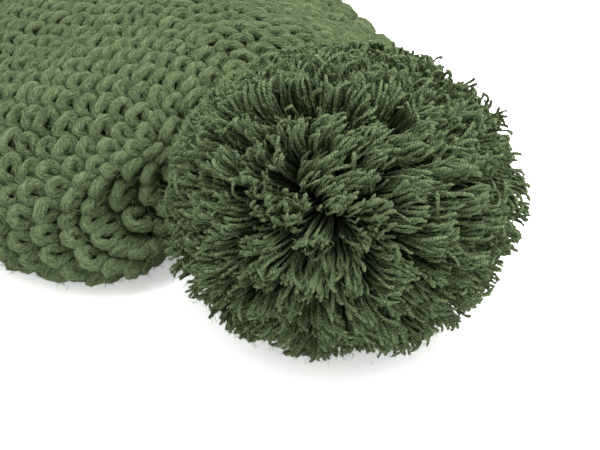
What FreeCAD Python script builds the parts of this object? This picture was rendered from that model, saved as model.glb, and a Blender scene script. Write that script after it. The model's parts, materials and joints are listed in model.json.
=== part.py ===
"""A chunky knitted beanie with a yarn pom pom, lying flat on a surface.

Frame: +Z up from the surface the hat lies on, +Y from the crown towards the open brim, X across the
hat. The origin is under the middle of the whole object. All sizes are in millimetres.

The hat is a knitted tube drawn in at the crown and folded back at the brim. The pom pom is a bundle
of yarn lengths choked at its waist. Its two tie tails run through the crown and are knotted inside.
"""

import FreeCAD, Part
import math
import os
import Sketcher
from FreeCAD import Vector

DOC = FreeCAD.newDocument("pom_pom_beanie")

# ---------------------------------------------------------------------------------------------
# Driving sizes
# ---------------------------------------------------------------------------------------------

SIZES = [
    ("hat_width", 214.0, "flat width of the laid hat"),
    ("hat_length", 250.0, "from the front of the crown shoulders to the brim fold"),
    ("fabric", 9.0, "thickness of the chunky knit"),
    ("inner_fold", 2.5, "radius inside the mouth's two side folds"),
    ("shoulder_lead", 12.0, "how far the shoulders stand in front of the drawn-in crown"),
    ("crown_length", 46.0, "length over which the crown rounds off"),
    ("crown_lift", 22.8, "height of the crown's top over the tie that pulls it up"),
    ("tip_inset", 34.0, "side inset of the crown's front"),
    ("tip_drop", 35.2, "depth of the crown front's underside below the tie"),
    ("tip_crest", 6.0, "bow of the crown's front over its side folds"),
    ("waist_lead", 41.0, "distance of the waist ahead of the cuffed band"),
    ("waist_rise", 56.0, "height of the hat at its waist, in front of the cuff"),
    ("undercut", 0.5, "depth of the form under the surface, trimmed to a flat underside"),
    ("cuff_height", 62.0, "height of the turned-up cuff"),
    ("cuff_fabric", 8.0, "thickness of the ribbed knit"),
    ("cuff_gap", 0.5, "room between the turned-up cuff and the hat under it"),
    ("cuff_lap", 7.0, "straight length of hat ahead of the cuff's edge"),
    ("band_cavity", 18.0, "height of the mouth of the hat, between its two layers"),
    ("cuff_round", 3.0, "rounding of the cuff's edges"),
    ("rib_pitch", 14.0, "distance from one rib of the cuff to the next"),
    ("rib_channel", 3.0, "radius of the channels between the ribs"),
    ("rib_depth", 2.0, "depth of the channels between the ribs"),
    ("upper_channels", 13.0, "channels over the top of the cuff"),
    ("under_channels", 11.0, "channels under the cuff"),
    ("crown_hole", 5.0, "radius of the hole left in the drawn-in crown"),
    ("gather_yarn", 1.4, "radius of the yarn that draws the crown in"),
    ("gather_gap", 0.1, "room round the gathering yarn in the last course"),
    ("gather_count", 14.0, "number of folds in the drawn-in crown"),
    ("gather_depth", 3.0, "radius of a crown fold at its outer end"),
    ("gather_reach", 18.0, "length of a crown fold from the edge of the crown hole"),
    ("tail_yarn", 1.2, "radius of the pom pom's tie yarn"),
    ("tail_gap", 0.2, "room between neighbouring runs of tie yarn"),
    ("anchor_radius", 7.5, "radius of the knot that holds the tie inside the crown"),
    ("anchor_rise", 6.0, "thickness of the anchor knot"),
    ("anchor_ends", 16.0, "length of the tie's cut ends behind the anchor knot"),
    ("draw_knot", 3.0, "radius of the knot in the draw yarn, inside the crown"),
    ("pivot_gap", 0.5, "room on each side of the point where the tie bends at the crown"),
    ("pom_radius", 57.0, "radius of the pom pom seen from above"),
    ("pom_half_height", 48.0, "half of the pom pom's height, which its weight flattens"),
    ("pom_sink", 0.8, "how far the pom pom's underside is flattened by the surface"),
    ("pom_gap", 0.7, "least room between the pom pom and the crown when it is lifted"),
    ("lift_limit", 22.0, "degrees that the pom pom lifts about the crown"),
    ("sway_limit", 25.0, "degrees that the pom pom sways each way about its choke"),
    ("parting_margin", 11.0, "extra degrees of the parting that the tie swings in"),
    ("parting_room", 0.7, "room over the tie in the parting"),
    ("waist_radius", 7.0, "radius of the choked waist of the strands"),
    ("choke_turns", 3.0, "turns of tie yarn round the waist"),
    ("choke_gap", 0.1, "room between the turns"),
    ("choke_room", 1.0, "room round the choke inside the strands"),
    ("knot_radius", 3.0, "radius of the knot on the choke"),
    ("knot_gap", 0.3, "room between a knot and its neighbours"),
    ("seam_radius", 3.5, "radius of the seam ridge inside the hat"),
    ("seam_start", 48.0, "distance of the seam ridge from the front"),
    ("seam_margin", 4.0, "distance of the seam ridge's end ahead of the waist"),
    ("stitch_yarn", 0.8, "radius of the sewing yarn"),
    ("stitch_pitch", 7.0, "distance between stitches over the seam"),
    ("stitch_gap", 0.1, "room between a stitch and the seam ridge"),
]


def make_sheet():
    """Writes the driving sizes into a spreadsheet, one alias a row."""
    sheet = DOC.addObject("Spreadsheet::Sheet", "Sizes")
    for row, (alias, value, note) in enumerate(SIZES, start=1):
        sheet.set(f"A{row}", note)
        sheet.set(f"B{row}", str(value))
        sheet.setAlias(f"B{row}", alias)
    DOC.recompute()
    return sheet


SHEET = make_sheet()


def size(alias):
    """The value of one driving size."""
    return float(SHEET.get(alias))


# Places that several pieces share, written as expressions on the sheet.
TIE_REACH = "(Sizes.pom_radius / cos(Sizes.lift_limit * 1 deg) + Sizes.pom_gap)"
FRONT_OF_HAT = f"((Sizes.pom_radius + {TIE_REACH} - Sizes.hat_length - Sizes.shoulder_lead) / 2)"
CROWN_WALL = f"({FRONT_OF_HAT} + Sizes.shoulder_lead)"
POM_CENTRE = f"({CROWN_WALL} - {TIE_REACH})"
BRIM = f"({FRONT_OF_HAT} + Sizes.hat_length)"
TIE_HEIGHT = "(Sizes.pom_half_height - Sizes.pom_sink)"
BAND_START = f"({BRIM} - Sizes.cuff_height - Sizes.cuff_lap)"
WAIST = f"({BAND_START} - Sizes.waist_lead)"
BAND_BOTTOM = "(Sizes.cuff_fabric + Sizes.cuff_gap)"
BAND_RISE = "(Sizes.band_cavity + 2 * Sizes.fabric)"
SIDE_FOLD = f"({BAND_BOTTOM} + Sizes.fabric + Sizes.inner_fold)"
TIP_RISE = f"(2 * {SIDE_FOLD} + Sizes.tip_crest)"
TIP_BOTTOM = f"({TIE_HEIGHT} - Sizes.tip_drop)"
CROWN_RISE = f"({TIE_HEIGHT} + Sizes.crown_lift)"
SEAM_START = f"({FRONT_OF_HAT} + Sizes.seam_start)"
SEAM_LENGTH = f"({WAIST} - Sizes.seam_margin - {SEAM_START})"
TAIL_OFFSET = "(Sizes.tail_yarn + Sizes.tail_gap / 2)"
CHOKE_RADIUS = "(Sizes.waist_radius + Sizes.tail_yarn)"
KNOT_REACH = f"({CHOKE_RADIUS} + Sizes.tail_yarn + Sizes.knot_gap + Sizes.knot_radius)"
CHOKE_CAVITY = f"({KNOT_REACH} + Sizes.knot_radius + Sizes.choke_room)"
DRAW_RADIUS = "(Sizes.crown_hole + Sizes.gather_yarn + Sizes.gather_gap)"
DRAW_CENTRE = ("0", f"({CROWN_WALL} + Sizes.fabric / 2)", TIE_HEIGHT)
ANCHOR_CENTRE = f"({CROWN_WALL} + Sizes.fabric + Sizes.knot_gap + Sizes.anchor_rise / 2)"
CHOKE_PITCH = "(2 * Sizes.tail_yarn + Sizes.choke_gap)"
CHOKE_HALF = f"({CHOKE_PITCH} * (Sizes.choke_turns - 1) / 2 + Sizes.tail_yarn + Sizes.choke_room)"
PARTING_HALF = "(2 * Sizes.tail_yarn + Sizes.tail_gap / 2 + Sizes.parting_room)"


# ---------------------------------------------------------------------------------------------
# Helpers for bodies, sketches and features
# ---------------------------------------------------------------------------------------------

PROBE = DOC.addObject("App::FeaturePython", "Probe")
PROBE.addProperty("App::PropertyFloat", "Value")


def value_of(expression):
    """The number that an expression on the sheet gives, for a sketch's first shape."""
    PROBE.setExpression("Value", str(expression))
    PROBE.recompute()
    return float(PROBE.Value)


def new_body(name):
    """An empty body whose label names the piece."""
    body = DOC.addObject("PartDesign::Body", name)
    body.Label = name
    return body


def origin_plane(body, role):
    """One of the body's own origin planes, such as XZ_Plane."""
    return next(f for f in body.Origin.OriginFeatures if f.Role == role)


def new_sketch(body, name, role, along="0", across="0", off="0"):
    """A sketch on an origin plane. Its own origin is moved by along and across in the plane.

    off moves it along the plane's normal. On XZ_Plane the normal is -Y, on YZ_Plane +X and on
    XY_Plane +Z.
    """
    sketch = body.newObject("Sketcher::SketchObject", name)
    sketch.AttachmentSupport = [(origin_plane(body, role), "")]
    sketch.MapMode = "FlatFace"
    sketch.setExpression("AttachmentOffset.Base.x", along)
    sketch.setExpression("AttachmentOffset.Base.y", across)
    sketch.setExpression("AttachmentOffset.Base.z", off)
    return sketch


def constrain(sketch, name, expression, kind, *where):
    """Adds a named dimension to a sketch and binds it to an expression."""
    number = sketch.addConstraint(Sketcher.Constraint(kind, *where, value_of(expression)))
    sketch.renameConstraint(number, name)
    sketch.setExpression(f"Constraints.{name}", expression)


def hat_section(body, name, place, half_width, bottom, rise, edge_round):
    """A cross-section of the laid hat: flat below, round at both sides and bowed on top.

    place is its Y. The two side arcs touch the base line and the top arc, so the whole outline is
    smooth. Its top point is at bottom + rise.
    """
    sketch = new_sketch(body, name, "XZ_Plane", off=f"-1 * ({place})")
    a, z0 = value_of(half_width), value_of(bottom)
    height, r = value_of(rise), value_of(edge_round)
    k, q = a - r, height - r
    top_radius = (k * k + q * q - r * r) / (2 * (height - 2 * r))
    centre_z = z0 + height - top_radius
    lean = math.atan2(z0 + r - centre_z, k)
    up = Vector(0, 0, 1)
    base = sketch.addGeometry(Part.LineSegment(Vector(-k, z0, 0), Vector(k, z0, 0)))
    right = sketch.addGeometry(
        Part.ArcOfCircle(Part.Circle(Vector(k, z0 + r, 0), up, r), -math.pi / 2, lean))
    top = sketch.addGeometry(
        Part.ArcOfCircle(Part.Circle(Vector(0, centre_z, 0), up, top_radius), lean, math.pi - lean))
    left = sketch.addGeometry(
        Part.ArcOfCircle(Part.Circle(Vector(-k, z0 + r, 0), up, r), math.pi - lean, 1.5 * math.pi))
    peak = sketch.addGeometry(Part.Point(Vector(0, z0 + height, 0)), True)
    for one, one_end, other, other_end in (
            (base, 2, right, 1), (right, 2, top, 1), (top, 2, left, 1), (left, 2, base, 1)):
        sketch.addConstraint(Sketcher.Constraint("Tangent", one, one_end, other, other_end))
    sketch.addConstraint(Sketcher.Constraint("Symmetric", base, 1, base, 2, -2))
    sketch.addConstraint(Sketcher.Constraint("Equal", left, right))
    sketch.addConstraint(Sketcher.Constraint("PointOnObject", peak, 1, -2))
    sketch.addConstraint(Sketcher.Constraint("PointOnObject", peak, 1, top))
    constrain(sketch, "edge_round", edge_round, "Radius", right)
    constrain(sketch, "base_width", f"2 * ({half_width} - {edge_round})", "DistanceX", base, 1, base, 2)
    constrain(sketch, "bottom", bottom, "DistanceY", -1, 1, base, 1)
    constrain(sketch, "top", f"{bottom} + {rise}", "DistanceY", -1, 1, peak, 1)
    return sketch


def polygon(sketch, corners):
    """Draws a closed outline through corners, each a pair of expressions, with every one bound."""
    points = [Vector(value_of(x), value_of(y), 0) for x, y in corners]
    lines = [sketch.addGeometry(Part.LineSegment(p, points[(i + 1) % len(points)]))
             for i, p in enumerate(points)]
    for i, line in enumerate(lines):
        following = lines[(i + 1) % len(lines)]
        sketch.addConstraint(Sketcher.Constraint("Coincident", line, 2, following, 1))
    for i, (x, y) in enumerate(corners):
        constrain(sketch, f"x{i}", x, "DistanceX", -1, 1, lines[i], 1)
        constrain(sketch, f"y{i}", y, "DistanceY", -1, 1, lines[i], 1)
    return sketch


def circle(sketch, x, y, radius):
    """Draws a circle whose centre and radius are bound to expressions."""
    centre = Vector(value_of(x), value_of(y), 0)
    number = sketch.addGeometry(Part.Circle(centre, Vector(0, 0, 1), value_of(radius)))
    constrain(sketch, f"radius{number}", radius, "Radius", number)
    constrain(sketch, f"x{number}", x, "DistanceX", -1, 1, number, 3)
    constrain(sketch, f"y{number}", y, "DistanceY", -1, 1, number, 3)
    return sketch


def loft(body, name, sections, ruled=False):
    """A loft through the sections, in order. A ruled one runs straight from each to the next."""
    feature = body.newObject("PartDesign::AdditiveLoft", name)
    feature.Profile = sections[0]
    feature.Sections = sections[1:]
    feature.Ruled = ruled
    return feature


def pad(body, name, sketch, length, backwards=False):
    """Extrudes a sketch by a bound length."""
    feature = body.newObject("PartDesign::Pad", name)
    feature.Profile = sketch
    feature.setExpression("Length", length)
    feature.Reversed = backwards
    return feature


def pocket(body, name, sketch, length, backwards=False):
    """Cuts a sketch's shape away over a bound length. A pocket runs against the sketch's normal."""
    feature = body.newObject("PartDesign::Pocket", name)
    feature.Profile = sketch
    feature.setExpression("Length", length)
    feature.Reversed = backwards
    return feature


def turned(body, kind, name, sketch, axis, angle=360.0):
    """A Revolution or Groove of a sketch about its own H_Axis or V_Axis."""
    feature = body.newObject(f"PartDesign::{kind}", name)
    feature.Profile = sketch
    feature.ReferenceAxis = (sketch, [axis])
    feature.Angle = angle
    feature.Midplane = angle < 360.0
    return feature


def primitive(body, kind, name, centre, turn=None, **sizes):
    """A PartDesign primitive, placed by expressions for its centre, with its sizes bound."""
    feature = body.newObject(f"PartDesign::{kind}", name)
    feature.AttachmentSupport = [(origin_plane(body, "XY_Plane"), "")]
    feature.MapMode = "FlatFace"
    for axis, expression in zip("xyz", centre):
        feature.setExpression(f"AttachmentOffset.Base.{axis}", expression)
    if turn:
        feature.AttachmentOffset = FreeCAD.Placement(Vector(), FreeCAD.Rotation(*turn))
        for axis, expression in zip("xyz", centre):
            feature.setExpression(f"AttachmentOffset.Base.{axis}", expression)
    for name_of_size, expression in sizes.items():
        feature.setExpression(name_of_size, expression)
    return feature


ALONG_Y = (Vector(1, 0, 0), -90.0)
FLAT_SIDE_DOWN = (Vector(0, 1, 1), 180.0)


# ---------------------------------------------------------------------------------------------
# The hat
# ---------------------------------------------------------------------------------------------

CROWN_STEPS = 5
SKIN = {"outer": "0", "cavity": "Sizes.fabric"}


def crown_station(inset, step):
    """Place, half width, bottom and rise of one section of the rounded crown.

    The sections follow a quarter of an ellipse from the crown's flat front to its full size.
    """
    turn = f"({90.0 * step / CROWN_STEPS} * 1 deg)"
    short = f"(1 - sin({turn}))"
    place = f"({FRONT_OF_HAT} + {inset} + (Sizes.crown_length - {inset}) * (1 - cos({turn})))"
    half = f"(Sizes.hat_width / 2 - {inset} - Sizes.tip_inset * {short})"
    bottom = f"(({TIP_BOTTOM} + Sizes.undercut) * {short} - Sizes.undercut + {inset})"
    top = f"({CROWN_RISE} - {inset} - ({CROWN_RISE} - {TIP_BOTTOM} - {TIP_RISE}) * {short})"
    return place, half, bottom, f"({top} - {bottom})", f"({SIDE_FOLD} - {inset})"


def body_stations(inset):
    """The sections behind the crown: its full size, the waist and the start of the cuffed band."""
    half = f"(Sizes.hat_width / 2 - {inset})"
    under = f"({inset} - Sizes.undercut)"
    waist = f"(Sizes.waist_rise - 2 * {inset} + Sizes.undercut)"
    fold = f"({SIDE_FOLD} - {inset})"
    return [
        crown_station(inset, CROWN_STEPS),
        (WAIST, half, under, waist, fold),
        (BAND_START, f"({half} - {BAND_BOTTOM})", f"({BAND_BOTTOM} + {inset})",
         f"({BAND_RISE} - 2 * {inset})", f"({fold} - {BAND_BOTTOM})"),
    ]


def hat_form(body, skin, end):
    """The form of one skin of the hat: rounded crown, body and a straight band up to end."""
    inset = SKIN[skin]
    crown = [hat_section(body, f"{skin}_crown{step}", *crown_station(inset, step))
             for step in range(CROWN_STEPS + 1)]
    loft(body, f"{skin}_crown", crown)
    middle = [hat_section(body, f"{skin}_body{i}", *station)
              for i, station in enumerate(body_stations(inset))]
    loft(body, f"{skin}_body", middle, ruled=True)
    band = hat_section(body, f"{skin}_band_outline", *body_stations(inset)[-1])
    pad(body, f"{skin}_band", band, f"{end} - {BAND_START}", backwards=True)


def crown_notch(body, skin):
    """Draws the crown in round the pom pom: a groove turned about the pom pom's upright axis.

    The wall stands upright at the tie, leans back over the top and is lifted clear of the surface
    below, where the tie holds the crown up.
    """
    reach = f"({TIE_REACH} + {SKIN[skin]})"
    lean = "(Sizes.anchor_radius + Sizes.fabric)"
    sketch = new_sketch(body, f"{skin}_notch_outline", "YZ_Plane", along=POM_CENTRE)
    polygon(sketch, [
        ("0", "-30"),
        (f"{reach} + 8", "-30"),
        (f"{reach} + 8", "0"),
        (reach, f"{TIE_HEIGHT} - 2 * {lean}"),
        (reach, f"{TIE_HEIGHT} + {lean}"),
        (f"{reach} + 8", f"{TIE_HEIGHT} + 2 * {lean}"),
        (f"{reach} + 8", f"{TIE_HEIGHT} + 60"),
        ("0", f"{TIE_HEIGHT} + 60"),
    ])
    return turned(body, "Groove", f"{skin}_notch", sketch, "V_Axis")


def crown_hole(body):
    """The hole that the draw yarn leaves round the tie, with the course that the draw yarn lies in."""
    sketch = new_sketch(body, "hole_outline", "XZ_Plane", across=TIE_HEIGHT, off=f"-1 * {CROWN_WALL}")
    circle(sketch, "0", "0", "Sizes.crown_hole")
    pocket(body, "hole", sketch, "Sizes.fabric + 3")
    primitive(body, "SubtractiveTorus", "draw_course", DRAW_CENTRE, ALONG_Y,
              Radius1=DRAW_RADIUS, Radius2="Sizes.gather_yarn + Sizes.gather_gap")


def crown_folds(body):
    """The folds of the drawn-in crown, fanned round the tie and deepening away from it."""
    fold = primitive(
        body, "SubtractiveCone", "fold", ("0", CROWN_WALL, f"{TIE_HEIGHT} + Sizes.crown_hole + 1"),
        Radius1="Sizes.gather_depth / 3", Radius2="Sizes.gather_depth", Height="Sizes.gather_reach")
    centre = new_sketch(body, "fold_centre", "XZ_Plane", across=TIE_HEIGHT)
    DOC.recompute()
    folds = body.newObject("PartDesign::PolarPattern", "folds")
    folds.Originals = [fold]
    folds.Axis = (centre, ["N_Axis"])
    folds.Angle = 360
    folds.setExpression("Occurrences", "Sizes.gather_count")
    body.Tip = folds


def flat_underside(body, name):
    """Trims the form to the surface that the hat lies on."""
    sketch = new_sketch(body, f"{name}_outline", "XY_Plane")
    reach = "(Sizes.hat_width + Sizes.hat_length)"
    polygon(sketch, [(f"-{reach}", f"-{reach}"), (reach, f"-{reach}"), (reach, reach), (f"-{reach}", reach)])
    pocket(body, name, sketch, "Sizes.undercut + 5")


def make_knit_shell():
    """The knitted tube of the hat, drawn in at the crown and open at the brim."""
    cavity = new_body("cavity_form")
    hat_form(cavity, "cavity", f"({BRIM} + 5)")
    crown_notch(cavity, "cavity")
    outer = new_body("outer_form")
    hat_form(outer, "outer", f"({BRIM} - Sizes.fabric)")
    crown_notch(outer, "outer")
    flat_underside(outer, "underside")
    crown_hole(outer)
    crown_folds(outer)
    shell = DOC.addObject("Part::Cut", "knit_shell")
    shell.Label = "knit_shell"
    shell.Base = outer
    shell.Tool = cavity
    return shell


def edges_at(body, expression):
    """Names of the body's edges that lie in the plane where Y is the expression."""
    place, slack = value_of(expression), 0.01
    return [f"Edge{i}" for i, edge in enumerate(body.Shape.Edges, start=1)
            if abs(edge.BoundBox.YMin - place) < slack and abs(edge.BoundBox.YMax - place) < slack]


def cuff_ribs(body, half, rise):
    """The channels between the cuff's ribs: fanned over its bowed top, and in a row under it.

    The fan turns about the axis of the cuff's top arc, which the section's width, height and side
    folds fix.
    """
    flat, tall = f"({half} - {SIDE_FOLD})", f"({rise} - {SIDE_FOLD})"
    bow = f"(({flat} ^ 2 + {tall} ^ 2 - {SIDE_FOLD} ^ 2) / (2 * ({rise} - 2 * {SIDE_FOLD})))"
    sunk = "(Sizes.rib_channel - Sizes.rib_depth)"
    step = f"(Sizes.rib_pitch / {bow} * 1 rad)"
    lean = f"({step} * (Sizes.upper_channels - 1) / 2)"
    fan = new_sketch(body, "fan_outline", "XZ_Plane", across=f"{rise} - {bow}", off=f"-1 * ({BRIM} + 1)")
    circle(fan, f"-1 * ({bow} + {sunk}) * sin({lean})", f"({bow} + {sunk}) * cos({lean})",
           "Sizes.rib_channel")
    channel = pocket(body, "upper_channel", fan, "Sizes.cuff_height + 2", backwards=True)
    DOC.recompute()
    uppers = body.newObject("PartDesign::PolarPattern", "upper_channels")
    uppers.Originals = [channel]
    uppers.Axis = (fan, ["N_Axis"])
    uppers.Reversed = True
    uppers.setExpression("Angle", f"{step} * (Sizes.upper_channels - 1)")
    uppers.setExpression("Occurrences", "Sizes.upper_channels")
    body.Tip = uppers
    DOC.recompute()
    row = new_sketch(body, "row_outline", "XZ_Plane", off=f"-1 * ({BRIM} + 1)")
    circle(row, "-1 * Sizes.rib_pitch * (Sizes.under_channels - 1) / 2", f"-1 * {sunk}", "Sizes.rib_channel")
    under = pocket(body, "under_channel", row, "Sizes.cuff_height + 2", backwards=True)
    DOC.recompute()
    unders = body.newObject("PartDesign::LinearPattern", "under_channels")
    unders.Originals = [under]
    unders.Direction = (row, ["H_Axis"])
    unders.setExpression("Length", "Sizes.rib_pitch * (Sizes.under_channels - 1)")
    unders.setExpression("Occurrences", "Sizes.under_channels")
    body.Tip = unders


def make_ribbed_cuff():
    """The brim's ribbed fabric: folded outwards at the mouth and turned up over the hat."""
    start, lip = f"({BRIM} - Sizes.cuff_height)", f"({BRIM} - Sizes.fabric)"
    half, rise = "(Sizes.hat_width / 2)", f"({BAND_RISE} + 2 * {BAND_BOTTOM})"
    body = new_body("ribbed_cuff")
    outside = hat_section(body, "cuff_outline", start, half, "0", rise, SIDE_FOLD)
    pad(body, "cuff", outside, "Sizes.cuff_height", backwards=True)
    room = hat_section(body, "cuff_room_outline", start, f"({half} - Sizes.cuff_fabric)",
                       "Sizes.cuff_fabric", f"({rise} - 2 * Sizes.cuff_fabric)",
                       f"({SIDE_FOLD} - Sizes.cuff_fabric)")
    pocket(body, "cuff_room", room, f"{lip} - {start}")
    mouth = hat_section(body, "mouth_outline", start, f"({half} - {BAND_BOTTOM} - Sizes.fabric)",
                        f"({BAND_BOTTOM} + Sizes.fabric)", "Sizes.band_cavity", "Sizes.inner_fold")
    pocket(body, "mouth", mouth, "Sizes.cuff_height + 1")
    DOC.recompute()
    tip = body.Tip
    rounds = body.newObject("PartDesign::Fillet", "cuff_edges")
    rounds.Base = (tip, edges_at(body, BRIM) + edges_at(body, start))
    rounds.setExpression("Radius", "Sizes.cuff_round")
    cuff_ribs(body, half, rise)
    return body


def make_back_seam():
    """The ridge inside the hat where its two side edges are sewn together, along its back."""
    body = new_body("back_seam")
    ridge = primitive(body, "AdditiveCylinder", "ridge", ("0", SEAM_START, "Sizes.fabric"), FLAT_SIDE_DOWN,
                      Radius="Sizes.seam_radius", Height=SEAM_LENGTH)
    ridge.Angle = 180
    return body


def stitch_count():
    """How many stitches fit on the seam at the driving pitch."""
    return int(value_of(SEAM_LENGTH) / size("stitch_pitch") + 0.001) - 1


def make_seam_yarn():
    """The overcast stitches of sewing yarn over the seam ridge, one loop to a stitch."""
    stitches = []
    for i in range(stitch_count()):
        stitch = DOC.addObject("Part::Torus", f"stitch{i}")
        stitch.Placement = FreeCAD.Placement(Vector(), FreeCAD.Rotation(Vector(1, 0, 0), 90))
        stitch.setExpression("Radius1", "Sizes.seam_radius + Sizes.stitch_gap + Sizes.stitch_yarn")
        stitch.setExpression("Radius2", "Sizes.stitch_yarn")
        stitch.Angle3 = 180
        stitch.setExpression("Placement.Base.y", f"{SEAM_START} + {i + 1} * Sizes.stitch_pitch")
        stitch.setExpression("Placement.Base.z", "Sizes.fabric + 0.05")
        stitches.append(stitch)
    yarn = DOC.addObject("Part::Compound", "seam_yarn")
    yarn.Label = "seam_yarn"
    yarn.Links = stitches
    return yarn


def make_gathering_yarn():
    """The draw yarn: one ring through the last course of stitches, pulled tight round the tie."""
    body = new_body("gathering_yarn")
    primitive(body, "AdditiveTorus", "ring", DRAW_CENTRE, ALONG_Y,
              Radius1=DRAW_RADIUS, Radius2="Sizes.gather_yarn")
    return body


# ---------------------------------------------------------------------------------------------
# The tie
# ---------------------------------------------------------------------------------------------

def yarn_pair(body, start, end):
    """Two runs of tie yarn side by side, along the tie's line from start to end."""
    for i, side in enumerate("-+"):
        place = (f"{side}1 * {TAIL_OFFSET}", start, TIE_HEIGHT)
        primitive(body, "AdditiveCylinder", f"{body.Name}_{i}", place, ALONG_Y,
                  Radius="Sizes.tail_yarn", Height=f"{end} - {start}")
    return body


def knot(body, centre, radius, rise):
    """A pulled-tight knot: a rounded disc turned about the tie's line, thinner than it is wide."""
    sketch = new_sketch(body, f"{body.Name}_outline", "YZ_Plane", along=centre, across=TIE_HEIGHT)
    half, r = value_of(rise) / 2, value_of(radius)
    up = Vector(0, 0, 1)
    axis = sketch.addGeometry(Part.LineSegment(Vector(-half, 0, 0), Vector(half, 0, 0)))
    front = sketch.addGeometry(Part.LineSegment(Vector(-half, 0, 0), Vector(-half, r - half, 0)))
    rim = sketch.addGeometry(Part.ArcOfCircle(Part.Circle(Vector(0, r - half, 0), up, half), 0, math.pi))
    back = sketch.addGeometry(Part.LineSegment(Vector(half, r - half, 0), Vector(half, 0, 0)))
    sketch.addConstraint(Sketcher.Constraint("Coincident", axis, 1, front, 1))
    sketch.addConstraint(Sketcher.Constraint("Tangent", front, 2, rim, 2))
    sketch.addConstraint(Sketcher.Constraint("Tangent", rim, 1, back, 1))
    sketch.addConstraint(Sketcher.Constraint("Coincident", back, 2, axis, 2))
    sketch.addConstraint(Sketcher.Constraint("Horizontal", axis))
    sketch.addConstraint(Sketcher.Constraint("Vertical", front))
    sketch.addConstraint(Sketcher.Constraint("PointOnObject", axis, 1, -1))
    sketch.addConstraint(Sketcher.Constraint("PointOnObject", rim, 3, -2))
    constrain(sketch, "rim", f"{rise} / 2", "Radius", rim)
    constrain(sketch, "reach", f"{radius} - {rise} / 2", "DistanceY", axis, 1, rim, 2)
    return turned(body, "Revolution", f"{body.Name}_turned", sketch, "H_Axis")


def make_anchor_knot():
    """The knot that holds the tie inside the crown, with the tie's two cut ends."""
    body = new_body("anchor_knot")
    knot(body, ANCHOR_CENTRE, "Sizes.anchor_radius", "Sizes.anchor_rise")
    yarn_pair(body, ANCHOR_CENTRE, f"({ANCHOR_CENTRE} + Sizes.anchor_rise / 2 + Sizes.anchor_ends)")
    return body


def make_crown_runs():
    """The two runs of the tie through the crown, from its bend at the outside to the anchor knot."""
    return yarn_pair(new_body("crown_runs"), f"({CROWN_WALL} + Sizes.pivot_gap)",
                     f"({ANCHOR_CENTRE} - Sizes.anchor_rise / 2)")


def make_gathering_knot():
    """The knot that closes the draw yarn, inside the crown under the anchor knot."""
    body = new_body("gathering_knot")
    along = f"{CROWN_WALL} + Sizes.fabric + Sizes.knot_gap + Sizes.draw_knot"
    drop = "(Sizes.anchor_radius + Sizes.knot_gap + Sizes.draw_knot)"
    primitive(body, "AdditiveSphere", "knot", ("0", along, f"{TIE_HEIGHT} - {drop}"),
              Radius="Sizes.draw_knot")
    return body


def make_neck_yarns():
    """The tie's two runs between the crown and the pom pom, which bend up with it."""
    past_the_knot = f"({POM_CENTRE} + {KNOT_REACH} + Sizes.knot_radius + Sizes.knot_gap)"
    return yarn_pair(new_body("neck_yarns"), past_the_knot, f"({CROWN_WALL} - Sizes.pivot_gap)")


def make_choke_knot():
    """The knot in the tie where it meets the choke round the strands' waist."""
    body = new_body("choke_knot")
    primitive(body, "AdditiveSphere", "knot", ("0", f"{POM_CENTRE} + {KNOT_REACH}", TIE_HEIGHT),
              Radius="Sizes.knot_radius")
    return body


# ---------------------------------------------------------------------------------------------
# The pom pom
# ---------------------------------------------------------------------------------------------

def make_choke_yarn():
    """The turns of tie yarn pulled tight round the strands' waist."""
    turns = []
    for i in range(int(size("choke_turns"))):
        turn = DOC.addObject("Part::Torus", f"choke_turn{i}")
        turn.setExpression("Radius1", CHOKE_RADIUS)
        turn.setExpression("Radius2", "Sizes.tail_yarn")
        turn.setExpression("Placement.Base.y", POM_CENTRE)
        turn.setExpression(
            "Placement.Base.z", f"{TIE_HEIGHT} + ({i} - (Sizes.choke_turns - 1) / 2) * {CHOKE_PITCH}")
        turns.append(turn)
    yarn = DOC.addObject("Part::Compound", "choke_yarn")
    yarn.Label = "choke_yarn"
    yarn.Links = turns
    return yarn


def make_strand_bundle():
    """The pom pom's cut strands: a ball that its weight flattens, choked to a narrow waist inside.

    The strands part in a thin fan behind the waist, where the tie swings as the pom pom sways.
    """
    body = new_body("strand_bundle")
    primitive(body, "AdditiveEllipsoid", "ball", ("0", POM_CENTRE, TIE_HEIGHT),
              Radius1="Sizes.pom_half_height", Radius2="Sizes.pom_radius", Radius3="Sizes.pom_radius")
    flat_underside(body, "resting_spot")
    choke = new_sketch(body, "choke_outline", "YZ_Plane", along=POM_CENTRE, across=TIE_HEIGHT)
    polygon(choke, [("Sizes.waist_radius", f"-{CHOKE_HALF}"), (CHOKE_CAVITY, f"-{CHOKE_HALF}"),
                    (CHOKE_CAVITY, CHOKE_HALF), ("Sizes.waist_radius", CHOKE_HALF)])
    turned(body, "Groove", "choke", choke, "V_Axis")
    fan = new_sketch(body, "parting_outline", "YZ_Plane", along=POM_CENTRE, across=TIE_HEIGHT)
    inner, outer = f"({CHOKE_CAVITY} - 1)", "(Sizes.pom_radius + 5)"
    polygon(fan, [(inner, f"-{PARTING_HALF}"), (outer, f"-{PARTING_HALF}"),
                  (outer, PARTING_HALF), (inner, PARTING_HALF)])
    parting = turned(body, "Groove", "parting", fan, "V_Axis", angle=180.0)
    parting.setExpression("Angle", "2 * (Sizes.sway_limit + Sizes.parting_margin)")
    return body


# ---------------------------------------------------------------------------------------------
# Build, check and write
# ---------------------------------------------------------------------------------------------

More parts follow.
